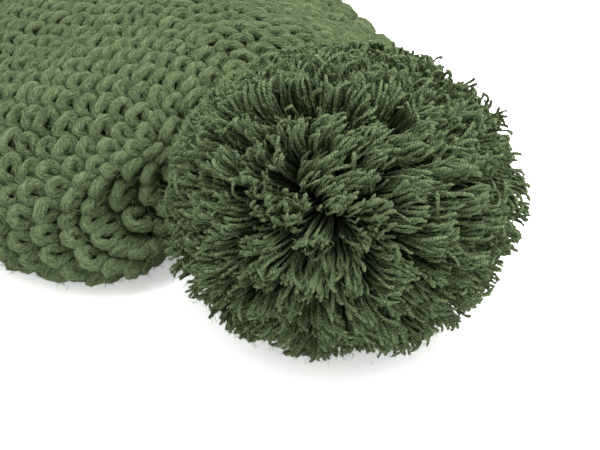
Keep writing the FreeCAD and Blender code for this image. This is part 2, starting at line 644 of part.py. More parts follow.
def write(pieces):
    """Checks every object and every piece, and then writes one file for each piece."""
    DOC.recompute()
    failed = [o.Name for o in DOC.Objects if "Invalid" in o.State or "Error" in o.State]
    if failed:
        raise RuntimeError(f"objects that did not compute: {failed}")
    for piece in pieces:
        if piece.Shape.isNull() or not piece.Shape.isValid():
            raise RuntimeError(f"{piece.Label} has no valid shape")
    os.makedirs("parts", exist_ok=True)
    for piece in pieces:
        piece.Shape.exportStep(f"parts/{piece.Label}.step")
        box = piece.Shape.BoundBox
        print(f"{piece.Label}: {len(piece.Shape.Solids)} solids, {piece.Shape.Volume / 1000:.1f} cm3, "
              f"Y {box.YMin:.1f} to {box.YMax:.1f}, Z {box.ZMin:.1f} to {box.ZMax:.1f}")


if __name__ == "__main__":
    write([
        make_knit_shell(), make_ribbed_cuff(), make_back_seam(), make_seam_yarn(), make_gathering_yarn(),
        make_gathering_knot(), make_crown_runs(), make_anchor_knot(), make_neck_yarns(), make_choke_knot(),
        make_choke_yarn(), make_strand_bundle(),
    ])
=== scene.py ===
"""A chunky knitted beanie with a yarn pom pom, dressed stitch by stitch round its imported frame.

The hat lies flat: +Z is up, +Y runs from the crown to the brim and X runs across. Every course of
knitting, the ribbed cuff, the seam, the ties and the pom pom's strands are real lengths of yarn.
"""
import json
import logging
import math
from dataclasses import dataclass, replace
from enum import Enum
from functools import partialmethod
from typing import Any, Callable

import bmesh
import bpy
import numpy as np
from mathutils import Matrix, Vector


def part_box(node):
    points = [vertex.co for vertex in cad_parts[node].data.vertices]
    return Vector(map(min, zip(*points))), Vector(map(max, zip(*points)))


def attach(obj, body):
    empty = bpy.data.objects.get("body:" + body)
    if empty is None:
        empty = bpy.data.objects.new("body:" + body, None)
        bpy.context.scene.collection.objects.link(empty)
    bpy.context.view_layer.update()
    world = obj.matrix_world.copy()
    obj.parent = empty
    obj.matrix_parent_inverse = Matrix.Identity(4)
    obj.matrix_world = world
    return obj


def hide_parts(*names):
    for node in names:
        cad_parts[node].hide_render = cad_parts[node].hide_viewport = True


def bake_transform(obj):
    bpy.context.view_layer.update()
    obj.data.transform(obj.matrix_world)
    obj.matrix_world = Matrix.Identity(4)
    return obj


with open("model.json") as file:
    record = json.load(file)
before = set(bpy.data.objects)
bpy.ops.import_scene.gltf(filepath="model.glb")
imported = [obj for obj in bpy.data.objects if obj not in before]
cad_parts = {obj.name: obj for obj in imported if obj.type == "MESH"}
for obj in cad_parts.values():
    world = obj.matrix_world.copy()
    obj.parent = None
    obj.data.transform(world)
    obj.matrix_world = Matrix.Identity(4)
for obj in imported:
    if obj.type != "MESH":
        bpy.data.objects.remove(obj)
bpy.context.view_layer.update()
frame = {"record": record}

MM = 0.001
FULL_TURN = math.tau
WHITE = (1.0, 1.0, 1.0, 1.0)
Colour = tuple[int, int, int]
Array = np.ndarray
Random = np.random.Generator

log = logging.getLogger("beanie")


@dataclass(frozen=True)
class Places:
    """Where the frame puts the hat's main points, in metres."""

    tie: Array
    pom: Array
    front: float
    cuff_edge: float
    brim: float
    half_width: float
    crown_top: float
    cuff_rise: float

    @classmethod
    def from_frame(cls, record: dict[str, Any]) -> "Places":
        """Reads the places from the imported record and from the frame's own boxes.

        Args:
            record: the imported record, whose joints give the tie's bend and the pom pom's centre.

        Returns:
            The places.
        """
        joints = {joint["name"]: joint for joint in record["behaviour"]["joints"]}
        cuff_low, cuff_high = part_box("ribbed_cuff")
        shell_low, shell_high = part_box("knit_shell")
        return cls(tie=np.array(joints["pom_lift"]["pos_m"]), pom=np.array(joints["pom_sway"]["pos_m"]),
                   front=shell_low.y, cuff_edge=cuff_low.y, brim=cuff_high.y, half_width=cuff_high.x,
                   crown_top=shell_high.z, cuff_rise=cuff_high.z)


# --- Shader recipes ---

def linear(colour: Colour) -> tuple[float, float, float, float]:
    """The linear colour of a dye given as three numbers from 0 to 255."""
    shares = (value / 255 for value in colour)
    return (*(s / 12.92 if s <= 0.04045 else ((s + 0.055) / 1.055) ** 2.4 for s in shares), 1.0)


class Wire:
    """One value in a recipe. Sums written with it add Math nodes to the recipe."""

    def __init__(self, recipe: "Recipe", socket: bpy.types.NodeSocket) -> None:
        """Wraps the output socket that holds the value."""
        self.recipe, self.socket = recipe, socket

    def math(self, operation: str, *others: "Wire | float", first: bool = True) -> "Wire":
        """Adds one Math node.

        Args:
            operation: the node's operation.
            others: the other values, in order.
            first: whether this value comes before the others.

        Returns:
            The node's result.
        """
        values = (self, *others) if first else (*others, self)
        return self.recipe.node("Math", dict(enumerate(values)), operation=operation)

    __add__ = __radd__ = partialmethod(math, "ADD")
    __sub__ = partialmethod(math, "SUBTRACT")
    __rsub__ = partialmethod(math, "SUBTRACT", first=False)
    __mul__ = __rmul__ = partialmethod(math, "MULTIPLY")
    sine = partialmethod(math, "SINE")
    cosine = partialmethod(math, "COSINE")
    size = partialmethod(math, "ABSOLUTE")
    power = partialmethod(math, "POWER")


class Recipe:
    """The nodes of one finish or of the world."""

    def __init__(self, owner: bpy.types.ID, output: str = "ShaderNodeOutputMaterial") -> None:
        """Empties a node tree down to its output.

        Args:
            owner: the material or world that has the tree.
            output: the type of its output node.
        """
        owner.use_nodes = True
        self.owner, self.tree = owner, owner.node_tree
        self.tree.nodes.clear()
        self.output = self.tree.nodes.new(output)

    def node(self, kind: str, inputs: dict[Any, Any] | None = None, output: int | str = 0,
             **settings: Any) -> Wire:
        """Adds a node.

        Args:
            kind: the node's type, after "ShaderNode".
            inputs: values or wires for its sockets, by name or number.
            output: which result to give back.
            settings: its properties.

        Returns:
            The chosen result.
        """
        made = self.tree.nodes.new("ShaderNode" + kind)
        for key, value in settings.items():
            setattr(made, key, value)
        for key, value in (inputs or {}).items():
            if isinstance(value, Wire):
                self.tree.links.new(value.socket, made.inputs[key])
            else:
                made.inputs[key].default_value = value
        return Wire(self, made.outputs[output])

    def blend(self, low: Any, high: Any, share: Wire) -> Wire:
        """A colour between two others, by share."""
        ends = {"Factor": share, 6: low, 7: high}
        return self.node("Mix", ends, output=2, data_type="RGBA", clamp_factor=True)

    def noise(self, place: Wire, scale: float, detail: float, roughness: float) -> Wire:
        """Noise from 0 to 1 over a place."""
        values = {"Vector": place, "Scale": scale, "Detail": detail, "Roughness": roughness}
        return self.node("TexNoise", values)

    def surface(self, shader: Wire) -> bpy.types.ID:
        """Finishes the recipe with its surface shader."""
        self.tree.links.new(shader.socket, self.output.inputs["Surface"])
        return self.owner

    def wool(self, colour: Wire, height: Wire, strength: float, relief: float,
             **looks: Any) -> bpy.types.Material:
        """Finishes the recipe with a rough surface.

        Args:
            colour: its colour.
            height: what its bumps follow.
            strength: how strong the bumps are.
            relief: how high they are, in metres.
            looks: other values of the surface, with _ for each space.

        Returns:
            The material.
        """
        bump = self.node("Bump", {"Strength": strength, "Distance": relief, "Height": height})
        values = {key.replace("_", " "): value for key, value in looks.items()}
        return self.surface(self.node("BsdfPrincipled", {
            "Base Color": colour, "Roughness": 0.95, "Normal": bump, **values}))


@dataclass(frozen=True)
class YarnFinish:
    """A spun yarn: fine fibres that wind along it, in one strand or in two plies twisted together.

    A piece of it has UVs that run along the yarn in metres and once round it, "rise" from 0 where
    the yarn lies low to 1 where it stands proud, and "tint" from 0 to 1 for each length of yarn.
    The finish paints shade where the rise is low and paints highlight where it is high.
    """

    name: str
    slot: str
    # The darkest colour is painted shade for where the yarn lies low; pale is partly the fibres' own light
    # tone and partly painted highlight on proud parts.
    painted_shade: Colour
    plain: Colour
    pale: Colour
    radius: float
    fibre_pitch: float
    fibre_width: float = 0.3 * MM
    fibre_length: float = 7.0 * MM
    ply_pitch: float = 9.0 * MM
    ply_depth: float = 0.0
    relief: float = 0.3 * MM
    contrast: float = 3.2
    sheen: float = 0.3

    def material(self) -> bpy.types.Material:
        """Builds the finish.

        Returns:
            The material.
        """
        recipe = Recipe(bpy.data.materials.new(self.name))
        uv = recipe.node("UVMap", uv_map="UVMap")
        along, around = (recipe.node("SeparateXYZ", {0: uv}, output=axis) for axis in (0, 1))

        def winding(pitch: float) -> Wire:
            """The angle of fibres that go once round the yarn in a pitch."""
            return around * FULL_TURN + along * (FULL_TURN / pitch)

        def streaks(turn: Wire, reach: float) -> Wire:
            """Long thin streaks, from 0 to 1, that wind along the yarn, the finer the more reach."""
            place = {0: along * (1 / self.fibre_length), 1: turn.cosine() * reach, 2: turn.sine() * reach}
            return recipe.noise(recipe.node("CombineXYZ", place), 1.0, 2.5, 0.6)

        fibres = streaks(winding(self.fibre_pitch), self.radius / self.fibre_width)
        wisps = streaks(winding(-2.3 * self.fibre_pitch), self.radius / (2.6 * self.fibre_width))
        grain = recipe.noise(recipe.node("TexCoord", output="Object"), 1 / (2.2 * self.fibre_width), 2.0, 0.7)
        tone = height = fibres * 0.5 + wisps * 0.22 + grain * 0.28
        if self.ply_depth:
            ply = winding(self.ply_pitch).cosine().size().power(0.6)
            height = tone * (1 - self.ply_depth) + ply * self.ply_depth
            # Painted shade: the tone is darkened in the grooves between the plies.
            tone = tone - (1 - ply) * (0.42 * self.ply_depth)
        # Painted light: rise mixes a shaded copy of the colours, darker where the yarn lies low, with a lit
        # copy, paler where it stands proud.
        rise, tint = (recipe.node("Attribute", output="Fac", attribute_name=fact) for fact in ("rise", "tint"))
        spread = (tone - 0.5) * self.contrast + 0.5 + (tint - 0.5) * 0.34
        lit = recipe.blend(linear(self.plain), linear(self.pale), spread)
        shaded = recipe.blend(linear(self.painted_shade), linear(self.plain), spread)
        return recipe.wool(recipe.blend(shaded, lit, rise), height, 0.9, self.relief, Specular_IOR_Level=0.12,
                           Sheen_Weight=self.sheen, Sheen_Roughness=0.4, Sheen_Tint=linear(self.pale))


@dataclass(frozen=True)
class BackingFinish:
    """A tangle of fine fibres, between two colours."""

    name: str
    slot: str
    dark: Colour
    plain: Colour

    def material(self) -> bpy.types.Material:
        """Builds the finish.

        Returns:
            The material.
        """
        recipe = Recipe(bpy.data.materials.new(self.name))
        tangle = recipe.noise(recipe.node("TexCoord", output="Object"), 900.0, 4.0, 0.7)
        colour = recipe.blend(linear(self.dark), linear(self.plain), tangle)
        return recipe.wool(colour, tangle, 0.8, 0.4 * MM, Specular_IOR_Level=0.1)


class Finishes:
    """The finishes of the hat, one for each kind of yarn in it."""

    KNIT = YarnFinish("chunky yarn", "chunky_knit", painted_shade=(50, 64, 40), plain=(92, 108, 75),
                      pale=(142, 158, 116), radius=2.4 * MM, fibre_pitch=15 * MM,
                      fibre_width=0.45 * MM, fibre_length=3.6 * MM, relief=3.0 * MM, contrast=9.0)
    RIB = replace(KNIT, name="ribbed yarn", slot="rib_knit", radius=2.0 * MM)
    SEAM = replace(KNIT, name="seam yarn", slot="seam_knit", radius=1.5 * MM)
    SEWING = YarnFinish("sewing yarn", "sewing_yarn", painted_shade=(46, 62, 38), plain=(82, 102, 66),
                        pale=(124, 146, 104), radius=1.0 * MM, fibre_pitch=12 * MM,
                        ply_pitch=7 * MM, ply_depth=0.5, relief=0.25 * MM)
    TIE = YarnFinish("tie yarn", "tie_yarn", painted_shade=(42, 58, 38), plain=(74, 96, 64),
                     pale=(118, 140, 100), radius=1.2 * MM, fibre_pitch=11 * MM,
                     ply_pitch=6 * MM, ply_depth=0.6)
    STRAND = YarnFinish("pom pom yarn", "pom_strands", painted_shade=(36, 48, 35), plain=(86, 104, 70),
                        pale=(170, 187, 140), radius=1.0 * MM, fibre_pitch=9 * MM, fibre_length=3.5 * MM,
                        ply_pitch=6.5 * MM, ply_depth=0.4, relief=1.0 * MM, contrast=8.0, sheen=0.6)
    # The loose fibres are coloured paler than the yarn they grow from: painted highlight of lit stray fibres.
    LINT = BackingFinish("loose knit fibres", "chunky_knit", dark=(84, 104, 66), plain=(160, 180, 134))
    FLUFF = BackingFinish("loose pom pom fibres", "pom_strands", dark=(80, 104, 62), plain=(176, 198, 142))
    # The backs of the stitches are coloured darker than the yarn: painted shade in the gaps between the loops.
    BACKING = BackingFinish("shaded backs of stitches", "chunky_knit", dark=(40, 52, 32), plain=(78, 94, 62))


# --- Points and pieces ---

def unit(vectors: Array) -> Array:
    """The directions of some vectors."""
    return vectors / np.maximum(np.linalg.norm(vectors, axis=-1, keepdims=True), 1e-12)


def rows(x: Any, y: Any, z: Any) -> Array:
    """Points, one row each, from their coordinates."""
    return np.column_stack(np.broadcast_arrays(x, y, z))


def heading(azimuth: float, elevation: float) -> Array:
    """The direction that faces a viewer who stands at this azimuth and elevation, in degrees."""
    turn, tilt = math.radians(azimuth), math.radians(elevation)
    return np.array([math.sin(turn) * math.cos(tilt), -math.cos(turn) * math.cos(tilt), math.sin(tilt)])


def above_table(points: Array, height: float | Array) -> Array:
    """The points, raised to at least a height above the table."""
    points[:, 2] = np.maximum(points[:, 2], height)
    return points


def uneven(random: Random, count: int, spread: float) -> Array:
    """Factors near 1 that make hand-made stitches differ."""
    return np.clip(random.normal(1, spread, count), 1 - 2 * spread, 1 + 2 * spread)


def add(name: str, data: bpy.types.ID) -> bpy.types.Object:
    """Adds an object to the scene.

    Args:
        name: its name.
        data: its mesh, curve, lamp or camera.

    Returns:
        The object.
    """
    made = bpy.data.objects.new(name, data)
    bpy.context.scene.collection.objects.link(made)
    return made


def dress(piece: bpy.types.Object, finish: YarnFinish | BackingFinish, body: str, *nodes: str) -> None:
    """Gives a piece its finish and its body, and hides the nodes of the frame that it stands for.

    Args:
        piece: the piece.
        finish: its finish.
        body: the body that it rides on, or nothing for a piece that rides on no body.
        nodes: the nodes that it replaces.
    """
    if finish.name not in bpy.data.materials:
        finish.material()
    piece.data.materials.append(bpy.data.materials[finish.name])
    if body:
        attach(piece, body)
    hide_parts(*nodes)
    triangles = sum(len(face.vertices) - 2 for face in piece.data.polygons)
    log.info("%s: %d triangles", piece.name, triangles)


# --- Yarn ---

@dataclass
class Yarn:
    """One length of yarn: its line, its radius, how proud it lies and how it is tinted."""

    line: Array
    radius: Array
    rise: Array
    tint: float = 0.5
    closed: bool = False

    def length(self) -> float:
        """The yarn's length in metres."""
        line = np.vstack([self.line, self.line[:1]]) if self.closed else self.line
        return float(np.linalg.norm(np.diff(line, axis=0), axis=1).sum())


def plain_yarn(line: Array, radius: float, tint: float = 0.5, closed: bool = False) -> Yarn:
    """A yarn of one radius, rounded off at its ends unless it is closed.

    Args:
        line: its points.
        radius: its radius.
        tint: its tint.
        closed: whether it joins up with itself.

    Returns:
        The yarn.
    """
    radii = np.full(len(line), radius)
    if not closed:
        radii[[0, -1]] = 0.0
        radii[[1, -2]] *= 0.8
    return Yarn(line, radii, np.full(len(line), 0.6), tint, closed)


def spin(name: str, yarns: list[Yarn], sides: int, rough: float = 0.0) -> bpy.types.Object:
    """Makes a piece from lengths of yarn, with UVs in metres along each.

    Args:
        name: the piece's name.
        yarns: the lengths of yarn.
        sides: faces round the yarn, an even number from 4.
        rough: how far its surface is uneven, as a share of its radius.

    Returns:
        The piece.
    """
    curve = bpy.data.curves.new(name, "CURVE")
    curve.dimensions = "3D"
    curve.bevel_depth = 1.0
    curve.bevel_resolution = (sides - 4) // 2
    for yarn in yarns:
        spline = curve.splines.new("POLY")
        spline.points.add(len(yarn.line) - 1)
        spline.points.foreach_set("co", np.column_stack([yarn.line, np.ones(len(yarn.line))]).ravel())
        spline.points.foreach_set("radius", yarn.radius)
        spline.use_cyclic_u = yarn.closed
    draft = add(name + "_draft", curve)
    graph = bpy.context.evaluated_depsgraph_get()
    mesh = bpy.data.meshes.new_from_object(
        draft.evaluated_get(graph), preserve_all_data_layers=True, depsgraph=graph)
    bpy.data.objects.remove(draft)
    bpy.data.curves.remove(curve)
    store_yarn_facts(mesh, yarns, sides)
    if rough:
        roughen(mesh, yarns, sides, rough)
    build = bmesh.new()
    build.from_mesh(mesh)
    bmesh.ops.remove_doubles(build, verts=build.verts, dist=1e-7)
    build.to_mesh(mesh)
    build.free()
    mesh.name = name
    return add(name, mesh)


def store_yarn_facts(mesh: bpy.types.Mesh, yarns: list[Yarn], sides: int) -> None:
    """Stores each yarn's rise and tint on its points and turns its UVs into metres.

    Args:
        mesh: the mesh of the yarns, with sides points round each point of a yarn, in order.
        yarns: the lengths of yarn.
        sides: points round the yarn.
    """
    counts = [len(yarn.line) for yarn in yarns]
    tints = np.array([yarn.tint for yarn in yarns])
    facts = {"rise": np.concatenate([yarn.rise for yarn in yarns]), "tint": np.repeat(tints, counts)}
    for name, values in facts.items():
        layer = mesh.attributes.new(name, "FLOAT", "POINT")
        layer.data.foreach_set("value", np.repeat(values, sides).astype(np.float32))
    owner = np.repeat(np.arange(len(yarns)), np.array(counts) * sides)
    corners = np.zeros(len(mesh.loops), np.int32)
    mesh.loops.foreach_get("vertex_index", corners)
    owner = owner[corners]
    layer = mesh.uv_layers["UVMap"]
    uvs = np.zeros((len(corners), 2), np.float32)
    layer.data.foreach_get("uv", uvs.ravel())
    lengths = np.array([yarn.length() for yarn in yarns])
    uvs[:, 0] = uvs[:, 0] * lengths[owner] + (tints * 0.7)[owner]
    layer.data.foreach_set("uv", uvs.ravel())


def roughen(mesh: bpy.types.Mesh, yarns: list[Yarn], sides: int, rough: float) -> None:
    """Makes a yarn's surface uneven.

    Args:
        mesh: the mesh of the yarns.
        yarns: the lengths of yarn.
        sides: points round the yarn.
        rough: how far the surface moves in or out, as a share of the radius.
    """
    random = np.random.default_rng(len(mesh.vertices))
    middles = np.repeat(np.vstack([yarn.line for yarn in yarns]), sides, axis=0)
    places = np.zeros(middles.shape, np.float32)
    mesh.vertices.foreach_get("co", places.ravel())
    factors = 1 + rough * np.clip(random.normal(0, 1, len(places)), -1.8, 1.8)
    mesh.vertices.foreach_set("co", (middles + (places - middles) * factors[:, None]).ravel())


@dataclass
class Fuzz:
    """Loose fibres that stand off a yarn, each a thin closed spindle."""

    length: float
    radius: float = 0.075 * MM
    lean: float = 0.75
    curl: float = 0.5 * MM
    least_rise: float = 0.35
    shift: float = 1.0 * MM
    outward: float = 0.9
    sunk: float = 0.86
    lengths: tuple[float, float] = (0.45, 1.2)
    tilts: tuple[float, float] = (0.1, 0.9)

    def grow(self, yarns: list[Yarn], count: int, random: Random,
             outwards: Callable[[Array], Array]) -> list[Yarn]:
        """Grows fibres on the proud parts of some yarns.

        Args:
            yarns: the yarns.
            count: how many fibres.
            random: the source of unevenness.
            outwards: gives the way out at each point.

        Returns:
            The fibres.
        """
        line = np.vstack([yarn.line for yarn in yarns])
        run = np.vstack([np.gradient(yarn.line, axis=0) for yarn in yarns])
        radius = np.concatenate([yarn.radius for yarn in yarns])
        rise = np.concatenate([yarn.rise for yarn in yarns])
        chosen = random.choice(np.flatnonzero((rise > self.least_rise) & (radius > 0)), count)
        each = (count, 1)
        run = unit(run[chosen]) * random.choice([-1, 1], each)
        start = line[chosen] + run * random.normal(0, self.shift, each)
        side = unit(np.cross(run, random.normal(0, 1, start.shape))) + self.outward * outwards(start)
        side = unit(side - run * (side * run).sum(axis=1, keepdims=True))
        start = start + side * (radius[chosen] * self.sunk)[:, None]
        reach = self.length * random.uniform(*self.lengths, each)
        tip = start + unit(run * self.lean + side * random.uniform(*self.tilts, each)) * reach
        start, tip = above_table(start, self.radius), above_table(tip, self.radius)
        middle = (start + tip) / 2 + random.normal(0, self.curl, start.shape)
        tints = random.random(count)
        return [Yarn(np.array(points), np.array([0.0, self.radius, 0.0]), np.ones(3), tint)
                for *points, tint in zip(start, above_table(middle, self.radius), tip, tints)]


# --- The form of the laid hat ---

@dataclass(frozen=True)
class Outline:
    """A cross-section of the laid hat: flat below, round at both sides and bowed on top."""

    place: float
    half: float
    bottom: float
    rise: float
    fold: float

    def inset(self, depth: float) -> "Outline":
        """The outline a depth further inside the fabric."""
        return Outline(self.place, self.half - depth, self.bottom + depth, self.rise - 2 * depth,
                       self.fold - depth)

    def ring(self, turns: Array) -> Array:
        """Points at equal shares of the outline's length, from the middle of its underside.

        Args:
            turns: shares of the way round, from 0 to 1.

        Returns:
            The points, one row each.
        """
        flat, tall = self.half - self.fold, self.rise - self.fold
        bow = (flat ** 2 + tall ** 2 - self.fold ** 2) / (2 * (self.rise - 2 * self.fold))
        lean = math.atan2(self.fold - self.rise + bow, flat)
        side = flat + (lean + math.pi / 2) * self.fold
        whole = side + (math.pi / 2 - lean) * bow
        walked = (turns % 1.0) * 2 * whole
        mirror = np.where(walked > whole, -1, 1)
        walked = np.where(walked > whole, 2 * whole - walked, walked)
        low = (walked - flat) / self.fold - math.pi / 2
        high = lean + (walked - side) / bow
        parts = [walked < flat, walked < side]
        x = np.select(parts, [walked, flat + self.fold * np.cos(low)], bow * np.cos(high))
        z = np.select(parts, [0.0, self.fold + self.fold * np.sin(low)], self.rise - bow + bow * np.sin(high))
        return rows(mirror * x, self.place, self.bottom + z)


class Fabric:
    """A tube of fabric, as a table of points by the way along it and the way round it."""

    GRAIN = 1.5 * MM
    OWN_LENGTH = 0.5

    def __init__(self, rings: list[Array], softness: float) -> None:
        """Evens out the rings' spacing and softens their corners.

        Args:
            rings: points round the tube, one array for each ring in order.
            softness: how far a corner along the tube is rounded.
        """
        table = self.even(np.array(rings))
        for _ in range(2 * max(1, round(softness / self.GRAIN))):
            table[1:-1] = (table[:-2] + 2 * table[1:-1] + table[2:]) / 4
        self.table = self.even(table)
        self.length = self.GRAIN * (len(self.table) - 1)
        around = np.roll(self.table, -1, axis=1) - np.roll(self.table, 1, axis=1)
        self.outward = unit(np.cross(np.gradient(self.table, axis=0), around))

    @classmethod
    def even(cls, table: Array) -> Array:
        """Spaces the rings evenly, partly by their mean distance apart and partly by each line's own.

        Args:
            table: rings of points.

        Returns:
            The table with rings one grain apart.
        """
        steps = np.linalg.norm(np.diff(table, axis=0), axis=2)
        places = np.vstack([np.zeros(steps.shape[1]), np.cumsum(steps, axis=0)])
        common = places.mean(axis=1)
        count = max(2, round(common[-1] / cls.GRAIN) + 1)
        shares, numbers = np.linspace(0, 1, count), np.arange(len(table))
        own = np.column_stack([np.interp(shares * line[-1], line, numbers) for line in places.T])
        shared = np.interp(shares * common[-1], common, numbers)[:, None]
        wanted = shared + cls.OWN_LENGTH * (own - shared)
        low = np.clip(wanted.astype(int), 0, len(table) - 2)
        share = (wanted - low)[:, :, None]
        columns = np.arange(steps.shape[1])
        return table[low, columns] * (1 - share) + table[low + 1, columns] * share

    def girth(self, along: float) -> float:
        """The distance round the tube at one place along it."""
        ring = self.table[min(len(self.table) - 1, max(0, round(along / self.GRAIN)))]
        return float(np.linalg.norm(ring - np.roll(ring, 1, axis=0), axis=1).sum())

    def points(self, turns: Array, along: Array, lift: Array) -> Array:
        """Points over the fabric.

        Args:
            turns: shares of the way round.
            along: metres along the tube.
            lift: metres outwards from the fabric's middle.

        Returns:
            The points, one row each.
        """
        count, columns = self.table.shape[:2]
        row = np.clip(along / self.GRAIN, 0, count - 1.001)
        column = (turns % 1.0) * columns
        i, j = row.astype(int), column.astype(int)
        u, v = (row - i)[:, None], (column - j)[:, None]
        i2, j, j2 = i + 1, j % columns, (j + 1) % columns

        def between(table: Array) -> Array:
            """The table's value at each place, from its four neighbours."""
            return ((table[i, j] * (1 - v) + table[i, j2] * v) * (1 - u)
                    + (table[i2, j] * (1 - v) + table[i2, j2] * v) * u)

        return between(self.table) + between(self.outward) * lift[:, None]

    def skin(self, name: str, depth: float, columns: int = 160,
             thickness: float = 0.5 * MM) -> bpy.types.Object:
        """A thin closed skin inside the fabric.

        Args:
            name: the piece's name.
            depth: how far the skin lies inside the fabric's middle.
            columns: how many faces it has round it.
            thickness: how thick it is.

        Returns:
            The piece.
        """
        build = bmesh.new()
        bmesh.ops.create_grid(build, x_segments=columns, y_segments=len(self.table) // 3, size=0.5)
        flat = np.array([vertex.co[:2] for vertex in build.verts]) + 0.5
        places = self.points(flat[:, 0], flat[:, 1] * self.length, np.full(len(flat), -depth))
        for vertex, place in zip(build.verts, places):
            vertex.co = place
        bmesh.ops.remove_doubles(build, verts=build.verts, dist=1e-6)
        bmesh.ops.recalc_face_normals(build, faces=build.faces)
        for face in build.faces:
            face.smooth = True
        mesh = bpy.data.meshes.new(name)
        build.to_mesh(mesh)
        build.free()
        piece = add(name, mesh)
        piece.modifiers.new("wall", "SOLIDIFY").thickness = thickness
        return piece


@dataclass
class HatForm:
    """The form of the laid hat, as the frame's shell and cuff have it."""

    places: Places
    fabric: float = 9.0 * MM
    cuff_fabric: float = 8.0 * MM
    side_fold: float = 20.0 * MM
    undercut: float = 0.5 * MM
    crown_length: float = 46.0 * MM
    tip_inset: float = 34.0 * MM
    tip_bottom: float = 12.0 * MM
    tip_rise: float = 46.0 * MM
    waist_place: float = 140.0 * MM
    waist_rise: float = 56.0 * MM
    band_rise: float = 36.0 * MM
    band_inset: float = 8.5 * MM
    band_lap: float = 7.0 * MM
    cuff_gap: float = 2.2 * MM
    cuff_lap: float = 5.0 * MM
    hole: float = 6.0 * MM
    notch_softness: float = 2.5 * MM
    softness: float = 6.0 * MM
    cuff_softness: float = 1.5 * MM
    fold_count: int = 9
    fold_depth: float = 2.4 * MM
    fold_reach: float = 17.0 * MM
    fold_length: float = 20.0 * MM
    fold_unevenness: float = 1.3
    sway: float = 1.6 * MM
    sway_start: float = 12.0 * MM
    sway_rise: float = 20.0 * MM
    sway_end: float = 60.0 * MM
    sway_lengths: tuple[float, float, float, float] = (17.0 * MM, 31.0 * MM, 19.0 * MM, 43.0 * MM)
    slump: float = 26.0 * MM
    slump_across: tuple[float, float] = (-60.0 * MM, 26.0 * MM)
    slump_rise: float = 32.0 * MM
    slump_reach: float = 50.0 * MM
    columns: int = 720

    def turns(self) -> Array:
        """The shares of the way round at which the form is worked out."""
        return np.arange(self.columns) / self.columns

    def crown_outline(self, share: float) -> Outline:
        """One section of the rounded crown.

        Args:
            share: 0 at the crown's front and 1 where the hat has its full size.

        Returns:
            The outline of the hat's outside there.
        """
        turn = share * math.pi / 2
        short = 1 - math.sin(turn)
        bottom = (self.tip_bottom + self.undercut) * short - self.undercut
        top = self.places.crown_top
        rise = top - (top - self.tip_bottom - self.tip_rise) * short - bottom
        return Outline(self.places.front + self.crown_length * (1 - math.cos(turn)),
                       self.places.half_width - self.tip_inset * short, bottom, rise, self.side_fold)

    def notch(self, ring: Array) -> Array:
        """Draws a ring back to clear the pom pom, which sits in front of the crown.

        Args:
            ring: the ring's points.

        Returns:
            The ring, with its front at least the tie's reach behind the pom pom's middle.
        """
        reach = self.places.tie[1] - self.places.pom[1] + self.fabric / 2
        across = np.clip(np.abs(ring[:, 0] - self.places.pom[0]) / reach, 0, 1)
        wall = self.places.pom[1] + reach * np.sqrt(1 - across ** 2)
        soft = self.notch_softness
        return rows(ring[:, 0], soft * np.logaddexp(ring[:, 1] / soft, wall / soft), ring[:, 2])

    def face_ring(self, outline: Array, share: float) -> Array:
        """A ring on the drawn-in front of the crown, between the hole and the crown's outline.

        Args:
            outline: the ring round the front.
            share: 0 at the hole and 1 at the outline.

        Returns:
            The ring.
        """
        angle = np.arctan2(outline[:, 2] - self.places.tie[2], outline[:, 0])
        hole = rows(self.hole * np.cos(angle), outline[:, 1], self.places.tie[2] + self.hole * np.sin(angle))
        return hole * (1 - share) + outline * share

    def shell(self) -> Fabric:
        """The knitted shell, from the hole in the crown to the start of the cuffed band.

        Returns:
            The fabric at the middle of its thickness.
        """
        turns, depth = self.turns(), self.fabric / 2
        front = self.crown_outline(0.0).inset(depth).ring(turns)
        front[:, 1] = self.places.front + depth
        rings = [self.face_ring(front, share) for share in np.linspace(0, 1, 12)[:-1]]
        for share in np.linspace(0, 1, 16):
            rings.append(self.crown_outline(share).inset(depth).ring(turns))
            rings[-1][:, 1] += depth * (1 - share)
        rings = [self.notch(ring) for ring in rings]
        full = self.crown_outline(1.0)
        waist = Outline(self.places.front + self.waist_place, full.half, full.bottom,
                        self.waist_rise - full.bottom, full.fold)
        band = Outline(self.places.cuff_edge - self.band_lap, full.half - self.band_inset, self.band_inset,
                       self.band_rise, full.fold - self.band_inset)
        for start, end, steps in ((full, waist, 30), (waist, band, 10)):
            first, last = start.inset(depth).ring(turns), end.inset(depth).ring(turns)
            rings += [first + (last - first) * step / steps for step in range(1, steps + 1)]
        return Fabric([self.settle(ring) for ring in rings], self.softness)

    def settle(self, ring: Array) -> Array:
        """Adds the gathered folds round the tie, the spread lower corner and the waves of soft fabric.

        Args:
            ring: a ring of the plain form.

        Returns:
            The ring as the fabric lies.
        """
        x, y, z = ring.T
        away = ring - self.places.tie
        angle = np.arctan2(away[:, 2], away[:, 0])
        near = np.exp(-(np.linalg.norm(away[:, ::2], axis=1) / self.fold_reach) ** 2)
        near *= np.clip(1 - (y - self.places.tie[1]) / self.fold_length, 0, 1)
        turned = self.fold_count * angle + self.fold_unevenness * np.sin(2 * angle)
        fold = np.sin(turned) * self.fold_depth * near
        slumped = np.exp(-((x - self.slump_across[0]) / self.slump_across[1]) ** 2)
        slumped *= np.clip(1 - z / self.slump_rise, 0, 1)
        slumped *= np.clip(1 - (y - self.places.front) / self.slump_reach, 0, 1)
        free = np.clip((z - self.sway_start) / self.sway_rise, 0, 1)
        free *= np.clip((self.places.cuff_edge - y) / self.sway_end, 0, 1)
        first, second, third, fourth = self.sway_lengths
        wave = np.sin(x / first + y / second) + np.sin(y / third - x / fourth + 1.0)
        return rows(x, y + (fold - self.slump * slumped), z + (self.sway * wave * free - self.sway * free))

    def outwards(self, points: Array) -> Array:
        """The directions that lead out of the hat from points on it."""
        side, front = 0.6 * self.places.half_width, self.places.tie[1] + 25 * MM
        return unit(points - rows(np.clip(points[:, 0], -side, side), np.maximum(points[:, 1], front),
                                  self.waist_rise / 2))

